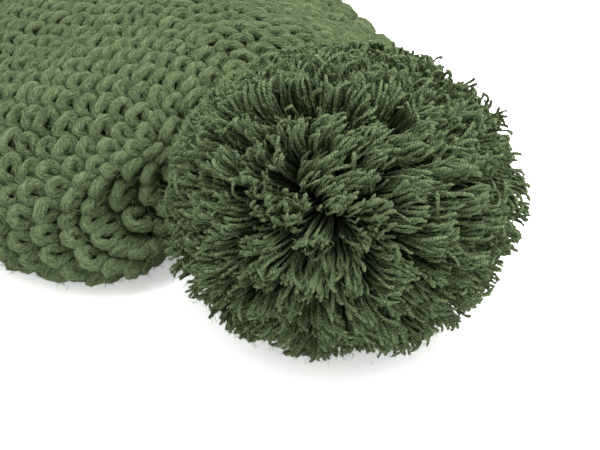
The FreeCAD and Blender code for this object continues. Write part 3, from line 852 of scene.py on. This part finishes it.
    def cuff(self) -> Fabric:
        """The ribbed fabric: from the cuff's edge up to the brim, round the fold and back inside.

        Returns:
            The fabric at the middle of its thickness.
        """
        turns, depth = self.turns(), self.cuff_fabric / 2
        outside = Outline(0.0, self.places.half_width, 0.0, self.places.cuff_rise, self.side_fold)
        inner = self.band_inset + self.fabric / 2
        fold = (inner - depth) / 2
        edge, turn_back = self.places.cuff_edge + self.cuff_gap, self.places.brim - depth - fold
        path = [(depth, y) for y in np.linspace(edge, turn_back, 24)]
        path += [(depth + fold - fold * math.cos(a), turn_back + fold * math.sin(a))
                 for a in np.linspace(0, math.pi, 11)[1:-1]]
        path += [(inner, y) for y in np.linspace(turn_back, self.places.cuff_edge - self.cuff_lap, 26)]
        rings = []
        for inset, y in path:
            rings.append(outside.inset(inset).ring(turns))
            rings[-1][:, 1] = y
        return Fabric(rings, self.cuff_softness)


# --- Knitting ---

@dataclass
class KnitShell:
    """The hat's chunky knitting, purl side out, one closed course of yarn for each row."""

    form: HatForm
    stitches: int = 43
    course_height: float = 7.8 * MM
    gathered_height: float = 0.8
    gathered: tuple[float, float] = (60 * MM, 130 * MM)
    yarn_radius: float = 2.05 * MM
    loop_height: float = 2.6 * MM
    loop_depth: float = 2.6 * MM
    loop_spread: float = 1.9 * MM
    full_pitch: float = 10 * MM
    half_pitch: float = 6.0 * MM
    third_pitch: float = 3.2 * MM
    uneven_height: float = 0.14
    uneven_depth: float = 0.20
    uneven_lean: float = 0.6 * MM
    lumps: float = 0.12
    rough: float = 0.12
    thinned: float = 0.75
    clearance: float = 1.16
    backs_depth: float = 1.8 * MM
    slant: float = 0.34
    spiral: float = 0.30
    slant_start: float = 150.0 * MM
    slant_end: float = 130.0 * MM
    points: int = 18
    sides: int = 10
    pieces: int = 4
    fibres: int = 24000
    seed: int = 11

    def __post_init__(self) -> None:
        """Lays out the fabric and seeds its unevenness."""
        self.fabric = self.form.shell()
        self.random = np.random.default_rng(self.seed)

    def build(self) -> None:
        """Knits the shell and dresses it."""
        courses = [self.course(place, row) for row, place in enumerate(self.course_places())]
        log.info("shell: %d courses over %.0f mm", len(courses), self.fabric.length / MM)
        share = math.ceil(len(courses) / self.pieces)
        for number in range(self.pieces):
            part = courses[number * share:(number + 1) * share]
            dress(spin(f"knit_{number}", part, self.sides, self.rough), Finishes.KNIT, "hat", "knit_shell")
        fuzz = Fuzz(length=4.6 * MM, radius=0.10 * MM, curl=0.8 * MM)
        fibres = fuzz.grow(courses, self.fibres, self.random, self.form.outwards)
        dress(spin("knit_fuzz", fibres, 4), Finishes.LINT, "hat", "knit_shell")
        # A skin inside the fabric behind the loops, coloured darker as painted shade.
        dress(self.fabric.skin("knit_backs", self.backs_depth), Finishes.BACKING, "hat", "knit_shell")

    def course_places(self) -> Array:
        """Where the courses lie along the fabric: closer together where the crown is gathered.

        Returns:
            Each course's place.
        """
        along = np.linspace(3 * MM, self.fabric.length - 1 * MM, 400)
        opened = np.clip((along - self.gathered[0]) / (self.gathered[1] - self.gathered[0]), 0, 1)
        height = self.course_height * (self.gathered_height + (1 - self.gathered_height) * opened)
        passed = np.concatenate([[0.0], np.cumsum(np.diff(along) / height[1:])])
        count = round(passed[-1])
        return np.interp((np.arange(count) + 0.5) * passed[-1] / count, passed, along)

    def stitch_count(self, girth: float) -> int:
        """How many stitches a course of this girth has: the gathered ones near the tie have fewer."""
        pitch = girth / self.stitches
        return self.stitches // (1 if pitch > self.half_pitch else 2 if pitch > self.third_pitch else 3)

    def course(self, along: float, row: int) -> Yarn:
        """One course of loops, whose heads lie outside and reach towards the brim.

        Args:
            along: its place along the fabric.
            row: its number, which sets how it interlocks with its neighbours.

        Returns:
            The yarn.
        """
        random, girth = self.random, self.fabric.girth(along)
        stitches = self.stitch_count(girth)
        phase = np.arange(stitches * self.points) * (FULL_TURN / self.points)
        stitch = (phase / FULL_TURN).astype(int)
        height = uneven(random, stitches, self.uneven_height)[stitch]
        depth = uneven(random, stitches, self.uneven_depth)[stitch]
        lean = random.normal(0, self.uneven_lean, stitches)[stitch]
        gather = min(1.0, girth / stitches / self.full_pitch)
        wave = np.cos(phase)
        swell = np.sign(wave) * np.abs(wave) ** 1.1
        turns = phase / FULL_TURN / stitches + self.loop_spread * gather * np.sin(2 * phase) / girth
        turns += (row % 2) * 0.5 / stitches + lean * (1 + wave) / 2 / girth
        skewed = self.skew(turns, along + self.loop_height * wave * height)
        line = self.fabric.points(*skewed, self.loop_depth * swell * depth)
        lumps = random.normal(0, 1, len(phase))
        lumps = (lumps + np.roll(lumps, 1) + np.roll(lumps, 2) + np.roll(lumps, 3)) / 4
        radius = self.yarn_radius * (self.thinned + (1 - self.thinned) * gather) * (1 + self.lumps * lumps)
        radius *= np.sqrt(np.clip(self.stretch(turns, along), 0.8, 1.7))
        # The rise, from the loops' swell, has the finish paint shade on the sunk legs and highlight on the
        # proud heads of the loops.
        return Yarn(above_table(line, self.clearance * radius), radius, np.clip(0.5 + 0.5 * swell, 0, 1),
                    random.random(), closed=True)

    def skew(self, turns: Array, along: Array) -> tuple[Array, Array]:
        """Slants the courses and winds the wales, as a soft tube lies when its crown is pulled aside.

        Args:
            turns: shares of the way round, before the fabric is skewed.
            along: places along the fabric, before it is skewed.

        Returns:
            The shares and the places as they lie.
        """
        fabric = self.fabric
        pulled = np.clip(along / self.slant_start, 0, 1)
        pulled *= np.clip((fabric.length - along) / (fabric.length - self.slant_end), 0, 1)
        wound = turns - self.spiral * (along - self.slant_start) / fabric.girth(self.slant_start)
        across = fabric.points(wound, np.full(len(along), self.slant_end), np.zeros(len(along)))[:, 0]
        return wound, along - self.slant * across * pulled

    def stretch(self, turns: Array, along: float) -> Array:
        """How far the skew moves neighbouring courses apart, as a share of the plain spacing."""
        ahead, behind = (self.skew(turns, np.full(len(turns), along + side * MM))[1] for side in (1, -1))
        return (ahead - behind) / (2 * MM)


class Face(Enum):
    """Which face of a stitch is turned outwards."""

    KNIT = 1
    PURL = -1


@dataclass
class RibbedCuff:
    """The turned-up cuff: knit and purl columns by turns, folded over at the brim."""

    form: HatForm
    rib_pitch: float = 14.0 * MM
    course_height: float = 7.2 * MM
    yarn_radius: float = 1.95 * MM
    loop_height: float = 5.0 * MM
    loop_depth: float = 1.0 * MM
    loop_spread: float = 1.55 * MM
    rib_relief: float = 1.2 * MM
    uneven_height: float = 0.06
    backs_depth: float = 0.4 * MM
    points: int = 16
    sides: int = 8
    seed: int = 23

    def __post_init__(self) -> None:
        """Lays out the fabric and seeds its unevenness."""
        self.fabric = self.form.cuff()
        self.random = np.random.default_rng(self.seed)

    def build(self) -> None:
        """Knits the cuff and dresses it."""
        count = round(self.fabric.length / self.course_height)
        step = self.fabric.length / count
        courses = [self.course(step * (i + 0.5)) for i in range(count)]
        log.info("cuff: %d courses over %.0f mm", count, self.fabric.length / MM)
        for name, part in (("cuff_outside", courses[:count // 2]), ("cuff_inside", courses[count // 2:])):
            dress(spin(name, part, self.sides), Finishes.RIB, "hat", "ribbed_cuff")
        # A skin inside the rib behind the loops, coloured darker as painted shade.
        dress(self.fabric.skin("cuff_backs", self.backs_depth), Finishes.BACKING, "hat", "ribbed_cuff")

    def course(self, along: float) -> Yarn:
        """One course of the rib.

        Args:
            along: its place along the fabric.

        Returns:
            The yarn.
        """
        girth = self.fabric.girth(along)
        stitches = 2 * round(self.fabric.girth(0.0) / self.rib_pitch)
        phase = np.arange(stitches * self.points) * (FULL_TURN / self.points)
        stitch = ((phase + math.pi) / FULL_TURN).astype(int) % stitches
        height = uneven(self.random, stitches, self.uneven_height)[stitch]
        rib = np.cos(phase / 2)
        legs = -np.cos(2 * phase) * np.where(stitch % 2 == 0, Face.KNIT.value, Face.PURL.value)
        turns = phase / FULL_TURN / stitches + self.loop_spread * np.sin(2 * phase) / girth
        lift = self.rib_relief * rib + self.loop_depth * legs
        line = self.fabric.points(turns, along + self.loop_height * np.cos(phase) * height, lift)
        # The rise has the finish paint shade on the sunk purl columns and legs of the rib and highlight on its
        # proud knit columns.
        rise = np.clip(0.5 + 0.3 * rib + 0.25 * legs, 0, 1)
        return Yarn(line, np.full(len(phase), self.yarn_radius), rise, self.random.random(), closed=True)


# --- The seam and the tie ---

def middle_of(node: str) -> Array:
    """The middle of a node's box on the frame."""
    low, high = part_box(node)
    return np.array((low + high) / 2)


def overhand(middle: Array, size: float, yarn: float, doubled: bool = False) -> list[Yarn]:
    """A knot pulled tight across the hat's length.

    Args:
        middle: its middle.
        size: half its width.
        yarn: the radius of its yarn.
        doubled: whether it is tied in two yarns held together.

    Returns:
        The knot's yarns.
    """
    turn = np.linspace(0, FULL_TURN, 72, endpoint=False)
    reach = size - yarn * (2 if doubled else 1)
    across = (np.sin(turn) + 2 * np.sin(2 * turn)) / 3
    upwards = (np.cos(turn) - 2 * np.cos(2 * turn)) / 3
    yarns = []
    for side in (-1, 1) if doubled else (1,):
        grown = reach + side * yarn * doubled
        line = middle + rows(across * grown, -np.sin(3 * turn) * 0.36 * reach, upwards * grown)
        yarns.append(plain_yarn(line, yarn, 0.4 + 0.1 * side, closed=True))
    return yarns


@dataclass
class Seam:
    """The seam along the hat's inside: two knitted edges and the yarn that sews them together."""

    pitch: float = 7.0 * MM
    edge_yarn: float = 1.5 * MM
    edge_gap: float = 1.5 * MM
    edge_wave: tuple[float, float, float] = (0.55 * MM, 0.9 * MM, 0.5 * MM)
    sewing_yarn: float = 0.9 * MM
    detail: int = 24
    sides: int = 8

    def build(self) -> None:
        """Makes the edges and the sewing, and dresses them."""
        dress(spin("seam_edges", self.edges(), self.sides, 0.06), Finishes.SEAM, "hat", "back_seam")
        dress(spin("seam_stitches", [self.sewing()], self.sides), Finishes.SEWING, "hat", "seam_yarn")

    def edges(self) -> list[Yarn]:
        """The two edges, each a yarn that loops from course to course.

        Returns:
            The edges' yarns.
        """
        low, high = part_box("back_seam")
        count = round((high.y - low.y) / self.pitch * self.detail)
        along = np.linspace(low.y + self.edge_yarn, high.y - self.edge_yarn, count)
        phase = (along - low.y) / self.pitch * FULL_TURN
        out, run, drop = self.edge_wave
        return [plain_yarn(rows(side * (self.edge_gap + out * np.sin(phase)), along + run * np.sin(2 * phase),
                                high.z - self.edge_yarn - drop * (1 + np.cos(phase))),
                           self.edge_yarn, 0.5 + 0.2 * side) for side in (-1, 1)]

    def sewing(self) -> Yarn:
        """The overcast stitches: one yarn that winds over both edges.

        Returns:
            The yarn.
        """
        low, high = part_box("seam_yarn")
        yarn = self.sewing_yarn
        turns = max(1, round((high.y - low.y) / self.pitch))
        phase = np.linspace(0, turns * FULL_TURN, turns * self.detail)
        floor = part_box("back_seam")[0].z - yarn
        lift = np.maximum(floor, floor + (high.z - yarn - floor) * np.sin(phase))
        along = np.linspace(low.y + yarn, high.y - yarn, len(phase))
        return plain_yarn(rows((high.x - yarn) * np.cos(phase), along, lift), yarn)


@dataclass
class Tie:
    """The yarns that close the crown and hold the pom pom to it."""

    places: Places
    draw_radius: float = 6.5 * MM
    draw_yarn: float = 1.4 * MM
    draw_weave: int = 9
    run_yarn: float = 1.2 * MM
    run_sag: float = 0.25 * MM
    knot_yarn: float = 1.1 * MM
    choke_turns: int = 3
    end_start: float = 1.0 * MM
    end_splay: float = 2.2 * MM
    end_curl: float = 0.8 * MM
    bend: float = 2.0 * MM
    sides: int = 10

    def build(self) -> None:
        """Makes the tie's yarns and knots, and dresses them."""
        for name, yarns, body, *nodes in (
                ("draw_yarn", [self.draw()], "hat", "gathering_yarn"),
                ("draw_knot", self.small_knot("gathering_knot"), "hat", "gathering_knot"),
                ("anchor_knot_yarn", self.anchor(), "hat", "anchor_knot"),
                ("tie_runs", self.runs(), "", "crown_runs", "neck_yarns"),
                ("choke_knot_yarn", self.small_knot("choke_knot"), "tie_knot", "choke_knot"),
                ("choke_winding", [self.choke()], "pom_pom", "choke_yarn")):
            piece = spin(name, yarns, self.sides)
            if not body:
                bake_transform(piece)
            dress(piece, Finishes.TIE, body, *nodes)

    def small_knot(self, node: str) -> list[Yarn]:
        """The knot that stands for a small round knot on the frame."""
        low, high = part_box(node)
        return overhand(middle_of(node), (high.x - low.x) / 2, self.knot_yarn)

    def draw(self) -> Yarn:
        """The yarn drawn through the crown's last course, in and out of its loops.

        Returns:
            The yarn.
        """
        low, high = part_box("gathering_yarn")
        turn = np.linspace(0, FULL_TURN, 96, endpoint=False)
        weave = ((high.y - low.y) / 2 - self.draw_yarn) * 0.9 * np.sin(self.draw_weave * turn)
        ring = rows(self.draw_radius * np.cos(turn), weave, self.draw_radius * np.sin(turn))
        return plain_yarn(middle_of("gathering_yarn") + ring, self.draw_yarn, closed=True)

    def runs(self) -> list[Yarn]:
        """The tie's two yarns, from the knot in the crown to the knot at the pom pom.

        Returns:
            The yarns.
        """
        low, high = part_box("neck_yarns")[0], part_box("crown_runs")[1]
        share = np.linspace(0, 1, 60)
        sag = self.run_sag * np.sin(share * math.pi * 7)
        return [plain_yarn(rows(side * (high.x - self.run_yarn), low.y + (high.y - low.y) * share,
                                self.places.tie[2] + side * sag), self.run_yarn, 0.5 + 0.2 * side)
                for side in (-1, 1)]

    def anchor(self) -> list[Yarn]:
        """The large knot inside the crown and its two cut ends.

        Returns:
            The yarns.
        """
        low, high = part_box("anchor_knot")
        middle = np.array([(low.x + high.x) / 2, low.y + 3 * MM, self.places.tie[2]])
        share = np.linspace(0, 1, 14)
        splay = self.end_start + self.end_splay * share ** 1.5
        ends = [plain_yarn(middle + rows(side * splay, (high.y - middle[1]) * share,
                                         self.end_curl * side * np.sin(share * 3.0)),
                           self.run_yarn * 0.95, 0.5 + 0.3 * side) for side in (-1, 1)]
        return overhand(middle, (high.x - low.x) / 2, self.run_yarn, doubled=True) + ends

    def choke(self) -> Yarn:
        """The yarn wound tightly round the pom pom's waist.

        Returns:
            The yarn.
        """
        low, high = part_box("choke_yarn")
        share = np.linspace(0, 1, 40 * self.choke_turns)
        turn = share * self.choke_turns * FULL_TURN
        reach, tall = ((high[axis] - low[axis]) / 2 - self.run_yarn for axis in (0, 2))
        winding = rows(reach * np.cos(turn), reach * np.sin(turn), tall * (2 * share - 1))
        return plain_yarn(middle_of("choke_yarn") + winding, self.run_yarn)


# --- The pom pom ---

@dataclass(frozen=True)
class Parting:
    """A line along which the strands have fallen apart and leave a dark crevice."""

    start: tuple[float, float]
    end: tuple[float, float]
    reach: float
    push: float

    def part(self, ends: Array) -> Array:
        """Pushes the strands' ends away from the line.

        Args:
            ends: the directions of the ends.

        Returns:
            The directions once they are parted.
        """
        shares = np.linspace(0, 1, 12)[:, None]
        line = unit(heading(*self.start) * (1 - shares) + heading(*self.end) * shares)
        near = line[np.argmax(ends @ line.T, axis=1)]
        facing = (ends * near).sum(axis=1)
        push = self.push * np.exp(-(np.arccos(np.clip(facing, -1, 1)) / self.reach) ** 2)
        return unit(ends + unit(ends - near * facing[:, None]) * push[:, None])


@dataclass
class PomPom:
    """The pom pom: limp lengths of two-ply yarn that fan out from the waist they are tied at."""

    places: Places
    radius: float = 57.0 * MM
    half_height: float = 47.6 * MM
    strands: int = 10500
    tip_radius: float = 0.58 * MM
    shaft_radius: float = 0.42 * MM
    clumps: int = 800
    clump_pull: float = 0.52
    loose: float = 0.07
    loose_reach: float = 0.06
    stray: tuple[float, float] = (0.12, 0.03)
    proud: tuple[float, float] = (0.042, 0.026)
    reach: tuple[float, float, float] = (0.84, 0.97, 1.11)
    back_reach: float = 1.07
    back_trim: float = 0.09
    comb: float = 0.42
    comb_stray: float = 0.55
    ruffle: float = 0.08
    eddies: int = 60
    eddy_reach: float = 0.32
    droop: float = 0.06
    wave: float = 0.3 * MM
    rough: float = 0.16
    leans: tuple[float, float] = (0.35, 1.35)
    calm: tuple[float, float] = (0.30, 0.9)
    sweep_range: tuple[float, float, float] = (0.3, 0.75, 1.3)
    sweep_share: float = 0.6
    uneven_strand: tuple[float, float] = (0.8, 1.15)
    uneven_width: tuple[float, float] = (0.85, 1.15)
    root_jitter: float = 0.03
    clump_jitter: float = 0.06
    fibres: int = 24800
    sides: int = 4
    pieces: int = 4
    seed: int = 5
    whorl: tuple[float, float] = (316.0, 12.0)
    sweep: tuple[float, float] = (45.0, 40.0)
    partings: tuple[Parting, ...] = (
        Parting((268.0, 54.0), (336.0, 68.0), 0.09, 0.11),
        Parting((314.0, 12.0), (331.0, 14.0), 0.08, 0.11),
        Parting((350.0, 37.0), (355.0, 29.0), 0.06, 0.07),
    )
    knots: tuple[float, ...] = (0.0, 0.3, 0.5, 0.64, 0.74, 0.82, 0.89, 0.95, 1.0)
    sway_limit: float = math.radians(26.0)
    tie_room: float = 4.1 * MM
    tie_verge: float = 0.25

    def __post_init__(self) -> None:
        """Seeds the pom pom's unevenness and sets where the points of a strand are."""
        self.random = np.random.default_rng(self.seed)
        self.shares = np.array(self.knots)

    def build(self) -> None:
        """Makes the strands and dresses them."""
        strands = self.lay()
        share = math.ceil(len(strands) / self.pieces)
        for number in range(self.pieces):
            part = strands[number * share:(number + 1) * share]
            piece = spin(f"pom_strands_{number}", part, self.sides, self.rough)
            dress(piece, Finishes.STRAND, "pom_pom", "strand_bundle")
        fibres = Fuzz(length=3.0 * MM, lean=1.0).grow(strands, self.fibres, self.random, self.outwards)
        dress(spin("pom_fuzz", fibres, 4), Finishes.FLUFF, "pom_pom", "strand_bundle")

    def outwards(self, points: Array) -> Array:
        """The directions that lead out of the pom pom from points in it."""
        return unit(points - self.places.pom)

    def spread(self, count: int, jitter: float) -> Array:
        """Directions spread evenly all round, each moved a little.

        Args:
            count: how many.
            jitter: how far each is moved.

        Returns:
            The directions.
        """
        number = np.arange(count) + 0.5
        height = 1 - 2 * number / count
        turn = number * math.pi * (3 - math.sqrt(5))
        ring = np.sqrt(1 - height ** 2)
        even = rows(ring * np.cos(turn), ring * np.sin(turn), height)
        return unit(even + self.random.normal(0, jitter, even.shape))

    def comb_out(self, centres: Array) -> Array:
        """How far each tuft leans over: away from the whorl, and ruffled.

        Args:
            centres: the directions of the tufts.

        Returns:
            The lean of each tuft, as a vector.
        """
        random, count = self.random, len(centres)
        whorl = heading(*self.whorl)
        facing = centres @ whorl
        away = unit(centres - whorl * facing[:, None])
        side = np.cross(centres, away)
        stray = random.normal(0, self.comb_stray, (count, 1))
        open_out = np.clip((np.arccos(np.clip(facing, -1, 1)) - self.calm[0]) / self.calm[1], 0, 1)
        bend = self.comb * open_out * random.uniform(*self.leans, count)
        least, usual, most = self.sweep_range
        bend *= np.clip(usual + self.sweep_share * (away @ heading(*self.sweep)), least, most)
        lean = (away * np.cos(stray) + side * np.sin(stray)) * bend[:, None]
        eddies = self.spread(self.eddies, 0.1)
        near = np.exp(-((np.arccos(np.clip(centres @ eddies.T, -1, 1)) / self.eddy_reach) ** 2))
        ruffle = near @ random.normal(0, self.ruffle, eddies.shape)
        ruffle += random.normal(0, self.ruffle / 3, centres.shape)
        return lean + (ruffle - centres * (ruffle * centres).sum(axis=1)[:, None])

    def lay(self) -> list[Yarn]:
        """Lays every strand from the waist to its end.

        Returns:
            The strands.
        """
        random = self.random
        roots = self.spread(self.strands, self.root_jitter)
        centres = self.spread(self.clumps, self.clump_jitter)
        nearest = np.argmax(roots @ centres.T, axis=1)
        lean = self.comb_out(centres)
        heads = unit(centres + lean)
        ends = unit(roots + lean[nearest])
        ends = ends + self.clump_pull * (heads[nearest] - ends)
        loose = random.random(len(ends)) < self.loose
        ends = unit(ends + random.normal(0, 1, ends.shape) * np.where(loose, *self.stray)[:, None])
        for parting in self.partings:
            ends = parting.part(ends)
        ends[:, 2] -= self.droop * (1 - np.abs(ends[:, 2]))
        ends = unit(ends)
        proud = random.normal(0, self.proud[0], self.clumps)[nearest]
        proud = proud + random.normal(0, self.proud[1], len(ends))
        least, usual, most = self.reach
        reach = np.clip(usual + proud + self.loose_reach * loose, least, most)
        reach = np.minimum(reach, self.back_reach - self.back_trim * np.clip(ends[:, 1] * 4, 0, 1))
        return [self.strand(root, end, out) for root, end, out in zip(roots, ends, reach)]

    def strand(self, root: Array, end: Array, out: float) -> Yarn:
        """One strand, thin along its shaft and swollen at its cut end.

        Args:
            root: the direction in which it leaves the waist.
            end: the direction of its end.
            out: how far out its end is, as a share of the pom pom's size.

        Returns:
            The strand.
        """
        random, shares = self.random, self.shares
        size = np.array([self.radius, self.radius, self.half_height])
        middle = unit(root * 0.62 + end * 0.38)
        knots = np.array([root * 0.14, root * 0.72, middle * 1.02 * out, end * out]) * size
        line = self.bezier(knots, shares) + self.places.pom
        wave = random.normal(0, self.wave, (2, 3))
        turn = shares * 16.0 + random.uniform(0, 6)
        line += (np.sin(turn)[:, None] * wave[0] + np.cos(turn * 0.6)[:, None] * wave[1]) * shares[:, None]
        line = self.clear_tie(above_table(line, self.tip_radius + 0.2 * MM))
        swell = np.clip((shares - 0.6) / 0.25, 0, 1)
        radius = self.shaft_radius + (self.tip_radius - self.shaft_radius) * swell
        radius *= random.uniform(*self.uneven_strand) * random.uniform(*self.uneven_width, len(shares))
        radius[[0, -1]] = 0.0
        # The rise grows from the middle of the strand to its end, so the finish paints shade towards the root
        # inside the pom pom and highlight at the tip.
        return Yarn(line, radius, np.clip((shares - 0.5) / 0.45, 0, 1), random.random())

    def clear_tie(self, line: Array) -> Array:
        """Lifts a strand clear of the tie, over the whole of the pom pom's turn and sway on it.

        Args:
            line: the strand's points.

        Returns:
            The points, at least the tie's room above or below it wherever it can reach.
        """
        away = line - self.places.pom
        reach = np.linalg.norm(away[:, :2], axis=1)
        turned = np.abs(np.arctan2(away[:, 0], away[:, 1]))
        limit = self.sway_limit + np.arcsin(self.tie_room / np.maximum(reach, self.tie_room))
        room = self.tie_room * np.clip((limit + self.tie_verge - turned) / self.tie_verge, 0, 1)
        side = 1.0 if away[len(away) // 2, 2] > 0 else -1.0
        away[:, 2] = side * np.maximum(side * away[:, 2], room)
        return away + self.places.pom

    @staticmethod
    def bezier(knots: Array, shares: Array) -> Array:
        """Points on the curve of four knots."""
        t = shares[:, None]
        return (knots[0] * (1 - t) ** 3 + knots[1] * 3 * t * (1 - t) ** 2
                + knots[2] * 3 * t ** 2 * (1 - t) + knots[3] * t ** 3)


# --- Stage ---

@dataclass
class Stage:
    """The pale floor, the soft light and the camera."""

    places: Places
    azimuth: float = 330.0
    elevation: float = 30.0
    distance: float = 0.400
    lens: float = 74.0
    aim_left: float = 12.5 * MM
    aim_down: float = 10.6 * MM
    floor_size: float = 6.0
    paper: float = 0.86
    seen_paper: float = 2.2
    seen_glow: float = 0.36
    room: float = 0.82
    seen_room: float = 1.0
    lamp_place: tuple[float, float, float] = (0.2, -0.28, 1.0)
    lamp_size: float = 0.9
    lamp_power: float = 8.5

    def build(self) -> None:
        """Sets up the floor, the light and the camera."""
        self.floor()
        self.light()
        self.camera()
        bpy.context.scene.view_settings.view_transform = "Standard"

    def floor(self) -> None:
        """Lays a floor that shows as white to the camera and keeps soft shadows."""
        build = bmesh.new()
        bmesh.ops.create_grid(build, x_segments=1, y_segments=1, size=self.floor_size)
        mesh = bpy.data.meshes.new("floor")
        build.to_mesh(mesh)
        build.free()
        floor = add("floor", mesh)
        recipe = Recipe(bpy.data.materials.new("white paper"))
        ray = recipe.node("LightPath", output="Is Camera Ray")
        glow = recipe.node("Emission", {"Color": WHITE, "Strength": ray * self.seen_glow})
        shade = recipe.blend((*[self.paper] * 3, 1.0), (*[self.seen_paper] * 3, 1.0), ray)
        paper = recipe.node("BsdfDiffuse", {"Color": shade})
        floor.data.materials.append(recipe.surface(recipe.node("AddShader", {0: glow, 1: paper})))

    def light(self) -> None:
        """Hangs one broad lamp over the hat, in a bright room."""
        world = bpy.data.worlds.new("bright room")
        bpy.context.scene.world = world
        recipe = Recipe(world, "ShaderNodeOutputWorld")
        room, seen = (recipe.node("Background", {"Color": WHITE, "Strength": strength})
                      for strength in (self.room, self.seen_room))
        ray = recipe.node("LightPath", output="Is Camera Ray")
        recipe.surface(recipe.node("MixShader", {0: ray, 1: room, 2: seen}))
        lamp = bpy.data.lights.new("softbox", "AREA")
        lamp.shape = "DISK"
        lamp.size, lamp.energy = self.lamp_size, self.lamp_power
        self.point(add("softbox", lamp), Vector(self.lamp_place), Vector(self.places.pom))

    def camera(self) -> None:
        """Places the camera, looking down at the pom pom a little off its middle."""
        back = Vector(heading(self.azimuth, self.elevation))
        right = Vector(heading(self.azimuth + 90.0, 0.0))
        up = back.cross(right)
        data = bpy.data.cameras.new("camera")
        data.lens = self.lens
        camera, pom = add("camera", data), Vector(self.places.pom)
        self.point(camera, pom + back * self.distance, pom - right * self.aim_left - up * self.aim_down)
        bpy.context.scene.camera = camera

    @staticmethod
    def point(holder: bpy.types.Object, place: Vector, aim: Vector) -> None:
        """Puts a lamp or camera at a place and points it at another."""
        holder.location = place
        holder.rotation_euler = (aim - holder.location).to_track_quat("-Z", "Y").to_euler()


def main() -> None:
    """Builds the hat's pieces in order round the frame."""
    logging.basicConfig(level=logging.INFO, format="%(message)s")
    places = Places.from_frame(frame["record"])
    form = HatForm(places)
    KnitShell(form).build()
    RibbedCuff(form).build()
    Seam().build()
    Tie(places).build()
    PomPom(places).build()
    Stage(places).build()


if __name__ == "__main__":
    main()
